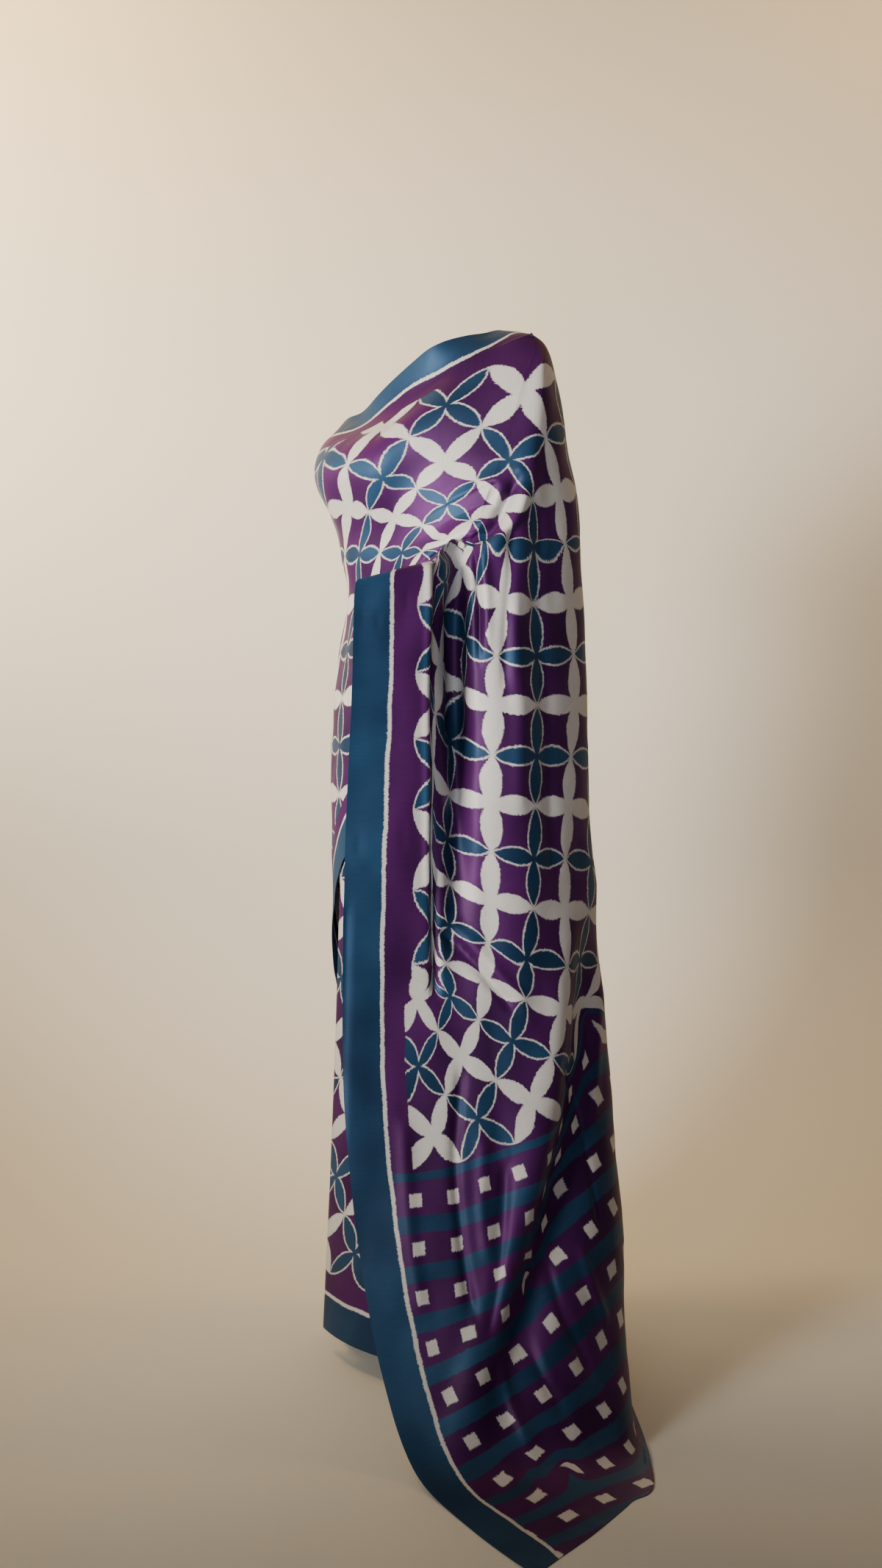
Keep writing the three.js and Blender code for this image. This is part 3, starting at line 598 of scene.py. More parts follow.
def pin_at(points, faces, along, z):
    """The triangle seen from the pallu's side at a place, and the shares of its corners there."""
    u, v = along_of(points), points[:, 2]
    a, b, c = faces[:, 0], faces[:, 1], faces[:, 2]
    det = (v[b] - v[c]) * (u[a] - u[c]) + (u[c] - u[b]) * (v[a] - v[c])
    det = np.where(abs(det) < 1e-6, 1e-6, det)
    first = ((v[b] - v[c]) * (along - u[c]) + (u[c] - u[b]) * (z - v[c])) / det
    second = ((v[c] - v[a]) * (along - u[c]) + (u[a] - u[c]) * (z - v[c])) / det
    shares = np.stack([first, second, 1 - first - second], 1)
    outside = np.maximum(-shares.min(1), 0)
    nearness = out_of(points)[faces].mean(1) - outside * OUTSIDE_COSTS
    best = int(nearness.argmax())
    return faces[best], np.clip(shares[best], 0, 1)


def crease_distance(path, along, z):
    """How far each place is from a path."""
    nearest = np.full(along.shape, 1e9)
    for (u0, v0), (u1, v1) in zip(path[:-1], path[1:]):
        du, dv = u1 - u0, v1 - v0
        share = np.clip(((along - u0) * du + (z - v0) * dv) / (du * du + dv * dv), 0, 1)
        nearest = np.minimum(nearest, np.hypot(along - u0 - share * du, z - v0 - share * dv))
    return nearest


def creased(grid, outward):
    """The grid with the creases pressed in wherever it faces the pallu's side."""
    along, z = along_of(grid), grid[..., 2]
    facing = smoothstep(out_of(outward), 0.05, 0.35)
    lift = np.zeros(along.shape)
    for path, half_width, depth in CREASES.values():
        path = np.array(path, float)
        places = np.linspace(0, len(path) - 1, CREASE_POINTS * len(path))
        away = crease_distance(spline_weights(places, len(path)) @ path, along, z) / half_width
        reach = 3 * half_width + 6
        from_ends = np.min([np.hypot(along - u, z - v) for u, v in path[[0, -1]]], axis=0)
        lift -= depth * np.exp(-away * away) * smoothstep(from_ends, 0, reach)
    return grid + outward * (lift * facing)[..., None]


def ripples(grid, outward, seed, size, height):
    """Slow unevenness of cloth that has been folded and worn, the same each run."""
    random = np.random.default_rng(seed)
    lift = np.zeros(grid.shape[:2])
    for _ in range(WAVES):
        direction = random.normal(size=3) * (1.0, 1.0, 0.45)
        wave = direction / np.linalg.norm(direction) * (2 * math.pi / (size * random.uniform(0.6, 1.8)))
        lift += np.sin(grid @ wave + random.uniform(0, 2 * math.pi)) * random.uniform(0.4, 1)
    return grid + outward * (lift * height / 4)[..., None]


def bent_softly(grid, rows):
    """The fall with no part under the floor, and rounded where it turns from hanging to lying."""
    grid = grid.copy()
    grid[..., 2] = np.maximum(grid[..., 2], ON_FLOOR_Z)
    reach = 2 * FINENESS
    offsets = np.arange(-reach, reach + 1)
    weights = np.exp(-(offsets / (0.5 * reach)) ** 2)
    index = np.clip(np.arange(len(grid))[:, None] + offsets, 0, len(grid) - 1)
    rounded = (grid[index] * weights[None, :, None, None]).sum(1) / weights.sum()
    near = smoothstep(rows, FLOOR_LEVEL - 0.8, FLOOR_LEVEL - 0.3)
    near *= 1 - smoothstep(rows, FLOOR_LEVEL + 0.4, FLOOR_LEVEL + 0.9)
    return grid + (rounded - grid) * near[:, None, None]


# Build the coarse cloth once to lay it flat, then the fine cloth

def cloth_grids(finer):
    """The fall, the shoulder and the winding, each row and column with its place in the tables."""
    fall, fall_rows, fall_columns = fall_grid(finer)
    shoulder, shoulder_rows, shoulder_columns = shoulder_grid(fall, finer)
    first_arm_column = int(np.argmin(abs(fall_columns - ARM_LINE)))
    ridge_step = COARSE_RIDGE_STEP if finer == 1 else RIDGE_STEP
    points, hanging = arm_line(shoulder, fall, first_arm_column, ridge_step)
    body, body_columns = body_grid(points, finer)
    return dict(
        fall=fall, fall_rows=fall_rows, fall_columns=fall_columns,
        shoulder=shoulder, shoulder_rows=shoulder_rows, shoulder_columns=shoulder_columns,
        body=body, body_columns=body_columns, points=points, hanging=hanging,
        first_arm_column=first_arm_column, ridge_step=ridge_step,
    )


def lay_flat():
    """The flat place of every point of the coarse cloth, which is joined into one mesh for it."""
    coarse = cloth_grids(1)
    fall, shoulder, body = coarse["fall"], coarse["shoulder"], coarse["body"]

    def numbered(grid, first):
        return first + np.arange(grid.shape[0] * grid.shape[1]).reshape(grid.shape[:2])

    fall_ids = numbered(fall, 0)
    shoulder_ids = numbered(shoulder, fall_ids.max() + 1)
    shoulder_ids[-1] = fall_ids[0, -shoulder.shape[1]:]
    body_ids = numbered(body, shoulder_ids.max() + 1)
    ridge = np.arange(shoulder.shape[1] - 1, 0, -coarse["ridge_step"])
    forearm = np.arange(coarse["first_arm_column"] - 1, -1, -1)
    body_ids[:, -1] = np.concatenate([shoulder_ids[0, ridge], shoulder_ids[:, 0], fall_ids[0, forearm]])
    points = np.zeros((body_ids[:, :-1].max() + 1, 3))
    for ids, grid in ((body_ids, body), (shoulder_ids, shoulder), (fall_ids, fall)):
        points[ids] = grid
    parts = [triangles_of(ids) for ids in (body_ids, shoulder_ids, fall_ids)]
    faces = np.concatenate(parts)

    # The fall's triangles come last, in two runs over its cells.
    first_in_fall = len(faces) - len(parts[2])
    in_fall = np.arange(len(faces)) >= first_in_fall
    cells = (fall.shape[0] - 1, fall.shape[1] - 1)
    lines = np.tile(np.broadcast_to(coarse["fall_columns"][:-1], cells).ravel(), 2)
    line = np.concatenate([np.full(first_in_fall, -1.0), lines])
    middle = points[faces].mean(1)
    along, out, z = along_of(middle), out_of(middle), middle[:, 2]
    tucked = (line >= PANEL_LINE) & (line < TUCKED_TO_LINE) & (z > TUCKED_TO_Z)
    from_fold = abs(along - smooth_at(LONG_FOLD, 1, z) - FOLD_SHIFT)
    folded = in_fall & (from_fold < FOLD_REACH) & (z < FOLD_TOP_Z) & (z > FOLD_LOW_Z)
    behind = in_fall & (along < BACK_TO_ALONG) & (out < BACK_TO_OUT)
    stiffness = np.ones(len(faces))
    for which, soft in ((tucked, TUCKED_STIFFNESS), (folded, FOLD_STIFFNESS), (behind, BACK_STIFFNESS)):
        stiffness[which] = soft

    pins = []
    for along, z, repeat, row in FLOWERS:
        place = (repeat * REPEAT, FIELD_STARTS + row * REPEAT)
        pins.append((*pin_at(points, faces, along, z), place, MOTIF_PULL))
    for along, z, row, number in SQUARES:
        place = (FIRST_STRIPE + STRIPE_PITCH * (row - 0.5), FIRST_SQUARE + number * SQUARE_PITCH)
        pins.append((*pin_at(points, faces, along, z), place, MOTIF_PULL))
    panel_rows = np.argmax(coarse["fall_rows"] > FREE_LEVEL)
    panel_columns = np.argmax(coarse["fall_columns"] >= PANEL_LINE)
    edges = [(fall_ids[:panel_rows, k], PANEL_WIDTH * k / panel_columns, PANEL_PULL)
             for k in range(1, panel_columns + 1)]
    edges += [
        (fall_ids[:, 0], 0.0, EDGE_PULL),
        (body_ids[0], CLOTH_WIDTH - NECKLINE_TURNED_IN, EDGE_PULL),
        (shoulder_ids[1:, -1], CLOTH_WIDTH, EDGE_PULL),
        (body_ids[-1], 0.0, LOOSE_PULL),
        (fall_ids[:, -1], CLOTH_WIDTH, LOOSE_PULL),
    ]
    place = flatten(points, faces, stiffness, pins, edges)
    return dict(body=place[body_ids], shoulder=place[shoulder_ids], fall=place[fall_ids])


def between(values, places):
    """Values at places between the rows, curved but never past their neighbours."""
    steps = np.diff(values, axis=0)
    before = np.concatenate([steps[:1], steps])
    after = np.concatenate([steps, steps[-1:]])
    same_way = before * after > 0
    slopes = np.where(same_way, 2 * before * after / np.where(same_way, before + after, 1), 0)
    i = np.clip(np.floor(places).astype(int), 0, len(values) - 2)
    t = (places - i)[:, None, None]
    return hermite(values[i], values[i + 1], slopes[i], slopes[i + 1], t)


# Meshes

def mesh_object(name, grid, places, edge_distance, material, closed=False):
    """A stretch of cloth over a grid, with its flat places and its distances from the cloth's edges."""
    rows, columns = grid.shape[:2]
    ids = np.arange(rows * columns).reshape(rows, columns)
    if closed:
        ids = np.concatenate([ids, ids[:, :1]], axis=1)
    quads = np.stack([ids[:-1, :-1], ids[:-1, 1:], ids[1:, 1:], ids[1:, :-1]], axis=-1).reshape(-1, 4)
    mesh = bpy.data.meshes.new(name)
    mesh.from_pydata((grid.reshape(-1, 3) * MM).tolist(), [], quads.tolist())
    corner = quads.reshape(-1)
    layer = mesh.uv_layers.new(name="cloth")
    flat = places.reshape(-1, 2)[corner].copy()
    if closed:
        turn = flat.reshape(-1, 4, 2)
        round_it = columns * (places[0, 1, 0] - places[0, 0, 0])
        over_seam = np.ptp(turn[..., 0], axis=1) > round_it / 2
        behind = turn[..., 0] < places[0, 0, 0] + round_it / 2
        turn[..., 0] += np.where(over_seam[:, None] & behind, round_it, 0)
    layer.data.foreach_set("uv", (flat * MM).astype(np.float32).ravel())
    edge = mesh.attributes.new("edge", "FLOAT", "POINT")
    edge.data.foreach_set("value", (edge_distance.reshape(-1) * MM).astype(np.float32))
    mesh.shade_smooth()
    # The free edges stay crisp, so the hem's narrow side does not darken the face beside it.
    uses = np.zeros(len(mesh.loops), np.int32)
    mesh.loops.foreach_get("edge_index", uses)
    sharp = mesh.attributes.new("sharp_edge", "BOOLEAN", "EDGE")
    sharp.data.foreach_set("value", np.bincount(uses, minlength=len(mesh.edges)) == 1)
    mesh.materials.append(material)
    made = bpy.data.objects.new(name, mesh)
    bpy.context.scene.collection.objects.link(made)
    thickness = made.modifiers.new("thickness", "SOLIDIFY")
    thickness.thickness = CLOTH_THICKNESS * MM
    thickness.offset = 0
    thickness.use_even_offset = False
    return made


# Materials

def linear(hex_colour):
    """An sRGB hex colour as the linear red, green, blue and alpha that Blender works in."""
    values = [int(hex_colour[k:k + 2], 16) / 255 for k in (1, 3, 5)]
    return [v / 12.92 if v <= 0.04045 else ((v + 0.055) / 1.055) ** 2.4 for v in values] + [1.0]


def add_node(tree, kind, *values, output=0, sockets=(), **settings):
    """Adds a node with its settings and links, and gives one of its outputs.

    Values or other nodes' outputs fill its sockets in order, or by name or number through `sockets`. A
    kind in capitals is the operation of a Math node.
    """
    if kind.isupper():
        kind, settings["operation"] = "Math", kind
    made = tree.nodes.new("ShaderNode" + kind)
    for name, value in settings.items():
        setattr(made, name, value)
    for socket, value in [*enumerate(values), *dict(sockets).items()]:
        if isinstance(value, bpy.types.NodeSocket):
            tree.links.new(value, made.inputs[socket])
        else:
            made.inputs[socket].default_value = value
    return made.outputs[output]


def past(node, value, limit, soft):
    """1 where a value is past its limit and 0 where it is short of it, with a soft edge."""
    beyond = node("SUBTRACT", value, limit)
    return node("MapRange", sockets={0: beyond, 1: -soft, 2: soft, 3: 0.0, 4: 1.0},
                interpolation_type="SMOOTHSTEP")


def within(node, value, limit, soft):
    """1 where a value is under its limit, with a soft edge."""
    return past(node, limit, value, soft)


def dyed(node, ground, *layers):
    """The ground with colours laid over it in turn, each by its share."""
    for share, colour in layers:
        ground = node("Mix", output=2, data_type="RGBA", sockets={0: share, 6: ground, 7: colour})
    return ground


def from_nearest(node, value):
    """The distance from the nearest whole number."""
    return node("ABSOLUTE", node("SUBTRACT", value, node("ROUND", value)))


def petals(node, across, along):
    """Petals along one set of the lattice's lines: how far inside one a place is, and 1 if it is cream."""
    line = node("ROUND", across)
    to_flower = from_nearest(node, node("MULTIPLY", node("SUBTRACT", along, line), 0.5))
    share = node("MapRange", sockets={0: to_flower, 1: 0.0, 2: 0.5, 3: PETAL_OVERLAP, 4: 1.0})
    from_middle = node("SUBTRACT", share, 0.5)
    # Each side of a petal is an arc of this radius, in repeats.
    radius = (0.25 + PETAL_HALF_WIDTH ** 2) / (2 * PETAL_HALF_WIDTH)
    arc = node("SQRT", node("SUBTRACT", radius ** 2, node("MULTIPLY", from_middle, from_middle)))
    half_width = node("SUBTRACT", arc, radius - PETAL_HALF_WIDTH)
    margin = node("SUBTRACT", half_width, from_nearest(node, across))
    cream = node("LESS_THAN", node("ABSOLUTE", node("WRAP", line, 1.0, -1.0)), 0.5)
    return margin, cream


def woven_silk(name):
    """Woven ikat silk: resist-dyed threads give each motif its feathered edge, and the long floats of the
    satin ground give the soft directional shine."""
    material = bpy.data.materials.new(name)
    material.use_nodes = True
    tree = material.node_tree
    tree.nodes.clear()
    node = partial(add_node, tree)
    place = node("UVMap", uv_map="cloth")
    along, across = (node("MULTIPLY", node("SeparateXYZ", place, output=k), 1000.0) for k in (0, 1))

    def noise(kind):
        along_size, across_size, seed = NOISE[kind]
        x, y = node("DIVIDE", along, along_size), node("DIVIDE", across, across_size)
        scaled = node("CombineXYZ", x, y, seed)
        cloud = node("TexNoise", sockets={"Vector": scaled, "Scale": 1.0, "Detail": 2.0, "Roughness": 0.6})
        return node("SUBTRACT", cloud, 0.5)

    def slip(kind, reach):
        drift = node("MULTIPLY", noise(kind + "_drift"), DRIFT)
        return node("ADD", node("MULTIPLY", noise(kind + "_slip"), reach), drift)

    # Each thread slips a little against its neighbours before it is woven, so the dye's edges feather.
    across_slip = slip("weft", SLIP_ACROSS)
    s = node("ADD", along, slip("warp", SLIP_ALONG))
    t = node("ADD", across, across_slip)
    edge = node("MULTIPLY", node("Attribute", output=2, attribute_name="edge"), 1000.0)
    edge = node("ADD", edge, across_slip)

    purple, teal = (
        dyed(node, linear(deep), (past(node, noise(bath), 0.0, 0.2), linear(bright)))
        for bath, deep, bright in (("purple_bath", PURPLE_DEEP, PURPLE), ("teal_bath", TEAL_DEEP, TEAL)))
    cream = linear(CREAM)

    # The field: a lattice of lines at 45 degrees to the cloth, cream petals on the even ones and teal
    # petals with a cream outline on the odd ones.
    x = node("DIVIDE", s, REPEAT)
    y = node("DIVIDE", node("SUBTRACT", t, FIELD_STARTS), REPEAT)
    u = node("SUBTRACT", node("ADD", x, y), 0.5)
    v = node("ADD", node("SUBTRACT", x, y), 0.5)
    lines = [petals(node, u, v), petals(node, v, u)]
    field = purple
    for margin, is_cream in lines:
        body = dyed(node, teal, (is_cream, cream))
        petal = dyed(node, cream, (past(node, margin, OUTLINE, PETAL_EDGE), body))
        field = dyed(node, field, (past(node, margin, 0.0, PETAL_EDGE), petal))
    # Where two petals of a flower meet, the petal's body covers the other's outline.
    (first, first_cream), (second, second_cream) = lines
    flower = dyed(node, teal, (first_cream, cream))
    same = node("SUBTRACT", 1.0, node("ABSOLUTE", node("SUBTRACT", first_cream, second_cream)))
    in_body = past(node, node("MAXIMUM", first, second), OUTLINE, PETAL_EDGE)
    field = dyed(node, field, (node("MULTIPLY", same, in_body), flower))

    # The end of the cloth: stripes across it with rows of small squares between them.
    row = node("DIVIDE", node("SUBTRACT", s, FIRST_STRIPE), STRIPE_PITCH)
    from_stripe = node("MULTIPLY", from_nearest(node, row), STRIPE_PITCH)
    is_first = node("LESS_THAN", node("ROUND", row), 0.5)
    narrower = node("MULTIPLY", is_first, (STRIPE_WIDTH - FIRST_STRIPE_WIDTH) / 2)
    half_stripe = node("SUBTRACT", STRIPE_WIDTH / 2, narrower)
    column = node("DIVIDE", node("SUBTRACT", t, FIRST_SQUARE), SQUARE_PITCH)
    from_column = node("MULTIPLY", from_nearest(node, column), SQUARE_PITCH)
    from_row = node("SUBTRACT", STRIPE_PITCH / 2, from_stripe)
    square = within(node, node("MAXIMUM", from_column, from_row), SQUARE / 2, 0.7)
    in_rows = node("GREATER_THAN", row, 0.0)
    end = dyed(node, purple, (within(node, from_stripe, half_stripe, 0.6), teal),
               (node("MULTIPLY", square, in_rows), cream))

    # The plain strip inside the border, the border's cream line and its teal band.
    ends = node("GREATER_THAN", along, END_STARTS)
    from_rims = node("MINIMUM", t, node("SUBTRACT", CLOTH_WIDTH, t))
    from_rims = node("MINIMUM", from_rims, edge)
    strip = node("MAXIMUM", node("SUBTRACT", within(node, from_rims, FIELD_STARTS, 0.4), ends), 0.0)
    colour = dyed(node, field, (ends, end), (strip, purple), (within(node, edge, BAND + LINE, 0.5), cream),
                  (within(node, edge, BAND, 0.5), teal))

    slub = node("MapRange", sockets={0: noise("weft_slub"), 1: -0.3, 2: 0.3, 3: 0.86, 4: 1.12})
    warp = node("MapRange", sockets={0: noise("warp_slub"), 1: -0.3, 2: 0.3, 3: 0.94, 4: 1.06})
    toned = node("Mix", output=2, data_type="RGBA", blend_type="MULTIPLY",
                 sockets={0: 1.0, 6: colour, 7: node("MULTIPLY", slub, warp)})
    height = node("ADD", node("MULTIPLY", noise("weft_slub"), 0.6), noise("handling"))
    bump = node("Bump", sockets={"Strength": 0.25, "Distance": 0.0012, "Height": height})
    # Dark dyed floats throw part of the light back in their own colour; the undyed ones are more matt.
    lightness = node("RGBToBW", colour)
    own_colour = node("MapRange", sockets={0: lightness, 1: 0.1, 2: 0.5, 3: 0.28, 4: 0.06})
    surface = node("BsdfPrincipled", sockets={
        "Base Color": toned, "Metallic": own_colour, "Roughness": 0.52, "Normal": bump,
        "Specular IOR Level": 0.2, "IOR": 1.5,
        "Anisotropic": 0.4, "Tangent": node("Tangent", direction_type="UV_MAP", uv_map="cloth"),
        "Sheen Weight": 0.02, "Sheen Roughness": 0.35, "Sheen Tint": linear("#B9B4D8"),
    })
    output = tree.nodes.new("ShaderNodeOutputMaterial")
    tree.links.new(surface, output.inputs["Surface"])
    return material


def painted_board():
    """Matt painted board: no shine, so the silk is the only thing that glints."""
    material = bpy.data.materials.new("painted_board")
    material.use_nodes = True
    surface = material.node_tree.nodes["Principled BSDF"]
    surface.inputs["Base Color"].default_value = linear(BOARD)
    surface.inputs["Roughness"].default_value = 0.9
    surface.inputs["Specular IOR Level"].default_value = 0.2
    return material


# The pieces

def rounded_crest(grids, points, hanging):
    """The grids with the cloth rounded, not creased, where it turns over the shoulder and the forearm."""
    body = grids["body"]
    from_crest = np.linalg.norm(body - points[:, None], axis=2)[:, ::-1]
    column = body.shape[1] - 1 - np.argmax(from_crest > CREST_ROUNDING, axis=1)
    inward = body[np.arange(len(points)), column] - points
    outward = hanging - points
    lengths = [np.maximum(np.linalg.norm(way, axis=1, keepdims=True), 1e-6) for way in (inward, outward)]
    shift = (inward / lengths[0] + outward / lengths[1]) * CREST_ROUNDING / 4
    reach = 4 * FINENESS
    rounded = {name: grid.copy() for name, grid in grids.items()}
    for near in (rounded["body"][:, -reach:], rounded["shoulder"], rounded["fall"][:reach]):
        flat = near.reshape(-1, 3)
        away = np.linalg.norm(flat[:, None] - points[None], axis=2)
        share = np.clip(1 - away.min(1) / CREST_ROUNDING, 0, 1) ** 2
        near[:] = (flat + shift[away.argmin(1)] * share[:, None]).reshape(near.shape)
    return rounded


def joined(grids, first_arm_column, ridge_step):
    """Brings the grids' shared edges together again after creases and ripples moved each one."""
    body, shoulder, fall = grids["body"], grids["shoulder"], grids["fall"]
    fade = 1 - smoothstep(np.arange(len(shoulder)), 0, 3 * FINENESS)
    shoulder += (fall[0, -shoulder.shape[1]:] - shoulder[-1]) * fade[::-1, None, None]
    goal, _ = arm_line(shoulder, fall, first_arm_column, ridge_step)
    fade = 1 - smoothstep(np.arange(body.shape[1]), 0, 5 * FINENESS)
    body += (goal - body[:, -1])[:, None] * fade[::-1][None, :, None]


def cut(array, rows, columns):
    """A table from one row and column to another, with both ends."""
    return array[rows[0]:rows[1] + 1, columns[0]:columns[1] + 1]


def rim_distances(grid, across_axis):
    """How far each point is along its line across the cloth from either end of that line."""
    steps = np.linalg.norm(np.diff(grid, axis=across_axis), axis=2)
    from_first = np.insert(np.cumsum(steps, axis=across_axis), 0, 0, axis=across_axis)
    total = np.take(from_first, [-1], axis=across_axis)
    return from_first, total - from_first


def build_cloth(silk):
    """The stretches from the second turn round the hips to the end of the cloth."""
    flat = lay_flat()
    coarse, fine = cloth_grids(1), cloth_grids(FINENESS)

    def flat_places(name, fine_rows, coarse_rows, fine_columns, coarse_columns):
        rows = np.interp(fine_rows, coarse_rows, np.arange(len(coarse_rows)))
        columns = np.interp(fine_columns, coarse_columns, np.arange(len(coarse_columns)))
        across = between(flat[name], rows).transpose(1, 0, 2)
        return between(across, columns).transpose(1, 0, 2)

    def shares(points):
        lengths = path_length(points)
        return lengths / lengths[-1]

    body_places = flat_places("body", shares(fine["points"]), shares(coarse["points"]),
                              fine["body_columns"], coarse["body_columns"])
    shoulder_places = flat_places("shoulder", fine["shoulder_rows"], coarse["shoulder_rows"],
                                  fine["shoulder_columns"], coarse["shoulder_columns"])
    fall_places = flat_places("fall", fine["fall_rows"], coarse["fall_rows"],
                              fine["fall_columns"], coarse["fall_columns"])

    body, shoulder, fall = fine["body"], fine["shoulder"], fine["fall"]
    outward = dict(body=grid_normals(body), shoulder=-grid_normals(shoulder), fall=-grid_normals(fall))

    from_top, from_low = rim_distances(body, 0)
    turned_in = NECKLINE_TURNED_IN * smoothstep(fine["body_columns"], HIP_STATIONS, HIP_STATIONS + 4)
    body_edge = np.minimum(from_top + turned_in[None, :], from_low)
    turned_in = NECKLINE_TURNED_IN * (1 - smoothstep(fine["shoulder_rows"], 0, 3))
    shoulder_edge = rim_distances(shoulder, 1)[1] + turned_in[:, None]
    fall_edge = np.minimum(*rim_distances(fall, 1))

    grids = rounded_crest(dict(body=body, shoulder=shoulder, fall=fall), fine["points"], fine["hanging"])
    for name, grid in grids.items():
        grid = creased(grid, outward[name])
        for seed, size, height in UNEVENNESS:
            grid = ripples(grid, outward[name], seed, size, height)
        grids[name] = grid
    joined(grids, fine["first_arm_column"], fine["ridge_step"])
    body, shoulder, fall = grids["body"], grids["shoulder"], grids["fall"]
    fall = bent_softly(fall, fine["fall_rows"])

    def row_of(level):
        return int(np.argmin(abs(fine["fall_rows"] - level)))

    def column_of(line):
        return int(np.argmin(abs(fine["fall_columns"] - line)))

    body_cloth = (body, body_places, body_edge)
    shoulder_cloth = (shoulder, shoulder_places, shoulder_edge)
    fall_cloth = (fall, fall_places, fall_edge)
    hip_end = int(np.argmin(abs(fine["body_columns"] - HIP_STATIONS)))
    bend, panel_end, side = row_of(BEND_LEVEL), column_of(PANEL_LINE), column_of(SIDE_LINE)
    last_row, last_column = fall.shape[0] - 1, fall.shape[1] - 1
    body_rows = (0, len(body) - 1)
    stretches = {
        "hip_wrap": (body_cloth, body_rows, (0, hip_end)),
        "bodice_drape": (body_cloth, body_rows, (hip_end, body.shape[1] - 1)),
        "pallu_shoulder": (shoulder_cloth, (0, len(shoulder) - 1), (0, shoulder.shape[1] - 1)),
        "pallu_forearm_panel": (fall_cloth, (0, bend), (0, panel_end)),
        "pallu_arm_fall": (fall_cloth, (0, bend), (panel_end, side)),
        "pallu_back_fall": (fall_cloth, (0, bend), (side, last_column)),
        "pallu_train": (fall_cloth, (bend, last_row), (0, last_column)),
    }
    return {name: mesh_object(name + "_silk", *(cut(table, rows, columns) for table in cloth), silk)
            for name, (cloth, rows, columns) in stretches.items()}


def build_skirt(silk):
    """The first turn: a tube from the waist to the hem, cut as ten repeats of the pattern round."""
    rows, columns = (steps * FINENESS for steps in SKIRT_STEPS)
    z = np.linspace(WAIST_Z, HEM_Z, rows + 1)[:, None]
    angle = (np.arange(columns) * 360 / columns)[None, :]
    grid = on_body(angle, z, skirt_fold(angle, z))
    height = np.broadcast_to(z - HEM_Z, grid.shape[:2])
    repeats = np.broadcast_to(angle / 360 * SKIRT_REPEATS, grid.shape[:2])
    places = np.stack([(repeats - SKIRT_FROM_FLOWER) * REPEAT, height], axis=-1)
    outward = on_body(angle, z, 1.0) - on_body(angle, z, 0.0)
    grid = ripples(grid, outward, *SKIRT_UNEVENNESS)
    return mesh_object("skirt_wrap_silk", grid, places, height, silk, closed=True)


def build_pleats(silk):
    """Knife pleats under the second turn: the cloth runs back and forth in layers round the front."""
    rows, spans = (steps * FINENESS for steps in PLEAT_STEPS)
    layers = 2 * PLEATS["count"]
    degrees_per_mm = 360 / (2 * math.pi * PLEATS["radius"])
    points = []
    for part in np.linspace(0, 1, rows + 1):
        z = PLEAT_TOP_Z + (PLEAT_HEM_Z - PLEAT_TOP_Z) * part
        width = PLEATS["width"] + (PLEATS["hem_width"] - PLEATS["width"]) * part
        layer = PLEATS["layer_at_waist"] + (PLEATS["layer_at_hem"] - PLEATS["layer_at_waist"]) * part
        step = PLEATS["step_at_waist"] + (PLEATS["step_at_hem"] - PLEATS["step_at_waist"]) * part
        angles, lifts = [], []
        for k in range(layers):
            middle = (PLEATS["count"] / 2 - k // 2) * step
            towards = 1 if k % 2 == 0 else -1
            lift = PLEATS["first_lift"] + k * layer
            for span in range(spans + 1):
                angles.append((middle + towards * (0.5 - span / spans) * width) * degrees_per_mm)
                lifts.append(lift)
            if k < layers - 1:
                angles.append((middle - towards * (width + layer) / 2) * degrees_per_mm)
                lifts.append(lift + layer / 2)
        points.append(on_body(np.array(angles), z, np.array(lifts)))
    grid = np.array(points)
    height = grid[..., 2] - PLEAT_HEM_Z
    places = np.stack([rim_distances(grid, 1)[0] - PLEATS_FROM_FLOWER * REPEAT, height], axis=-1)
    return mesh_object("skirt_pleats_silk", grid, places, height, silk)


def flat_cut(piece):
    """(width across the cloth, length along it, area) of a stretch laid flat, in metres.

    Where the cloth laid flat is far larger than its surface, the rest is tucked out of sight in a fold and
    has no surface here, so only what shows counts.
    """
    count = len(piece.data.loops)
    flat = np.zeros(2 * count, np.float32)
    piece.data.uv_layers["cloth"].data.foreach_get("uv", flat)
    corners = flat.reshape(-1, 4, 2).astype(float)
    first, second = corners[:, 2] - corners[:, 0], corners[:, 3] - corners[:, 1]
    laid = abs(first[:, 0] * second[:, 1] - first[:, 1] * second[:, 0]) / 2
    surface = np.zeros(len(piece.data.polygons), np.float32)
    piece.data.polygons.foreach_get("area", surface)
    area = np.where(laid > TUCKED_FROM * surface, surface, laid).sum()
    length, width = np.ptp(corners.reshape(-1, 2), axis=0)
    return float(width), float(length), float(area)


silk = woven_silk("woven_ikat_silk")
shown = build_cloth(silk)
shown["skirt_wrap"] = build_skirt(silk)
shown["skirt_pleats"] = build_pleats(silk)
for node, piece in shown.items():
    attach(piece, "root")
    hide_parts(node)
    width, length, area = flat_cut(piece)


# Studio: a pale floor that curves up into a wall, soft light from the left and front

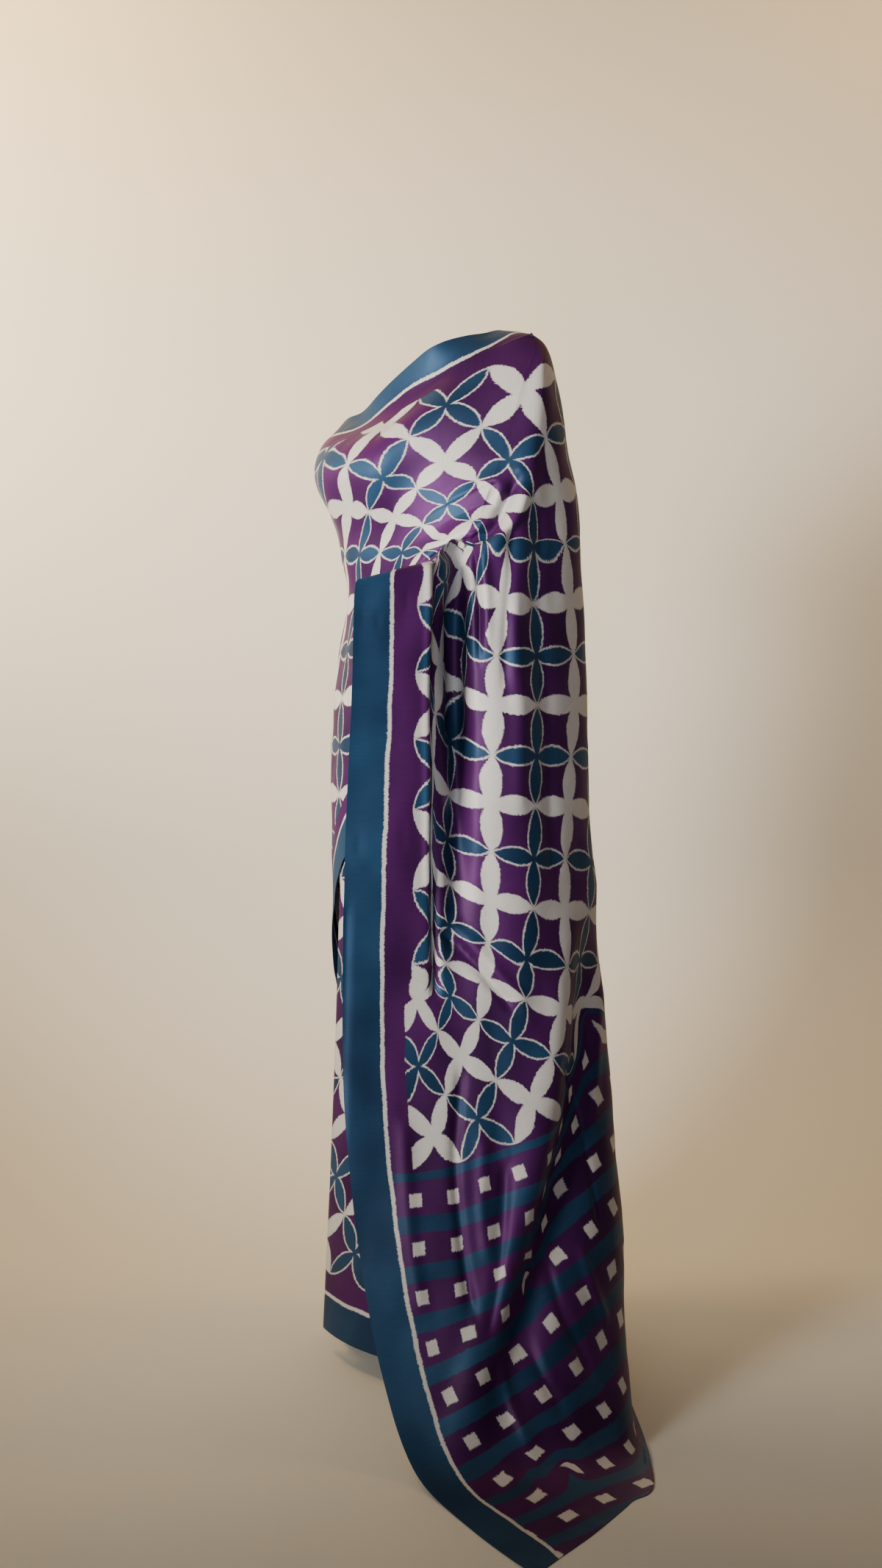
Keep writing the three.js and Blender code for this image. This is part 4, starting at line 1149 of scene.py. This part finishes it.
def build_sweep():
    """The floor and the wall behind as one sheet, square to the view."""
    outward = np.array([math.sin(PALLU_TURN), -math.cos(PALLU_TURN), 0])
    sideways = np.array([math.cos(PALLU_TURN), math.sin(PALLU_TURN), 0])
    upward = np.array([0, 0, 1])
    profile = [(SWEEP_FRONT, 0.0), (SWEEP_CURVE_FROM, 0.0)]
    for k in range(1, SWEEP_STEPS + 1):
        turn = math.pi / 2 * k / SWEEP_STEPS
        back, up = SWEEP_RADIUS * math.sin(turn), SWEEP_RADIUS * (1 - math.cos(turn))
        profile.append((SWEEP_CURVE_FROM - back, up))
    profile.append((SWEEP_CURVE_FROM - SWEEP_RADIUS, SWEEP_HEIGHT))
    points, faces = [], []
    for n, (out, up) in enumerate(profile):
        for side in (-SWEEP_HALF_WIDTH, SWEEP_HALF_WIDTH):
            points.append((outward * out + sideways * side + upward * (FLOOR_Z * MM + up)).tolist())
        if n:
            faces.append((2 * n - 2, 2 * n - 1, 2 * n + 1, 2 * n))
    mesh = bpy.data.meshes.new("studio_sweep")
    mesh.from_pydata(points, [], faces)
    mesh.shade_smooth()
    mesh.materials.append(painted_board())
    made = bpy.data.objects.new("studio_sweep", mesh)
    bpy.context.scene.collection.objects.link(made)
    return made


def in_view_plan(along, out, z):
    """A place in the pallu's plan, in metres. As in the tables, a z of 0 would be the floor."""
    return from_plan([[(along, out, z)]])[0, 0] * MM


def area_light(name, place, size, watts, hex_colour, aim, spread):
    """A square soft light at a place, turned to its aim; the spread in degrees narrows its beam."""
    data = bpy.data.lights.new(name, "AREA")
    data.shape = "RECTANGLE"
    data.size = data.size_y = size
    data.energy = watts
    data.spread = math.radians(spread)
    data.color = linear(hex_colour)[:3]
    made = bpy.data.objects.new(name, data)
    made.location = in_view_plan(*place)
    towards = Vector(in_view_plan(*aim) - in_view_plan(*place))
    made.rotation_euler = towards.to_track_quat("-Z", "Y").to_euler()
    bpy.context.scene.collection.objects.link(made)


build_sweep()
area_light("key", (-1900, 2150, 350), 0.9, 16, "#FFF6EA", aim=(-100, 0, -60), spread=50)
area_light("front", (-300, 2900, -100), 0.8, 2.5, "#F4F6FF", aim=(0, 0, 100), spread=50)
area_light("wall_left", (-2300, 0, 500), 0.8, 42, "#FFE9C8", aim=(-1000, -1000, 500), spread=90)
area_light("wall_top", (-1300, -100, 1900), 0.6, 30, "#FFCB78", aim=(-900, -1000, 1000), spread=120)
area_light("wall_right", (1500, -100, 2000), 0.6, 14, "#FFC468", aim=(1000, -1000, 1000), spread=120)
world = bpy.data.worlds.new("room")
world.use_nodes = True
room = world.node_tree.nodes["Background"]
room.inputs["Color"].default_value = linear("#D4DFF2")
room.inputs["Strength"].default_value = 0.12
bpy.context.scene.world = world

camera_data = bpy.data.cameras.new("camera")
camera_data.sensor_fit = "VERTICAL"
camera_data.sensor_height = SENSOR_HEIGHT
camera_data.lens = LENS
camera_data.shift_y = SHIFT_UP
camera = bpy.data.objects.new("camera", camera_data)
camera.location = in_view_plan(EYE_ALONG, EYE_OUT, EYE_Z)
camera.rotation_euler = (math.pi / 2, 0, PALLU_TURN)
bpy.context.scene.collection.objects.link(camera)
bpy.context.scene.camera = camera
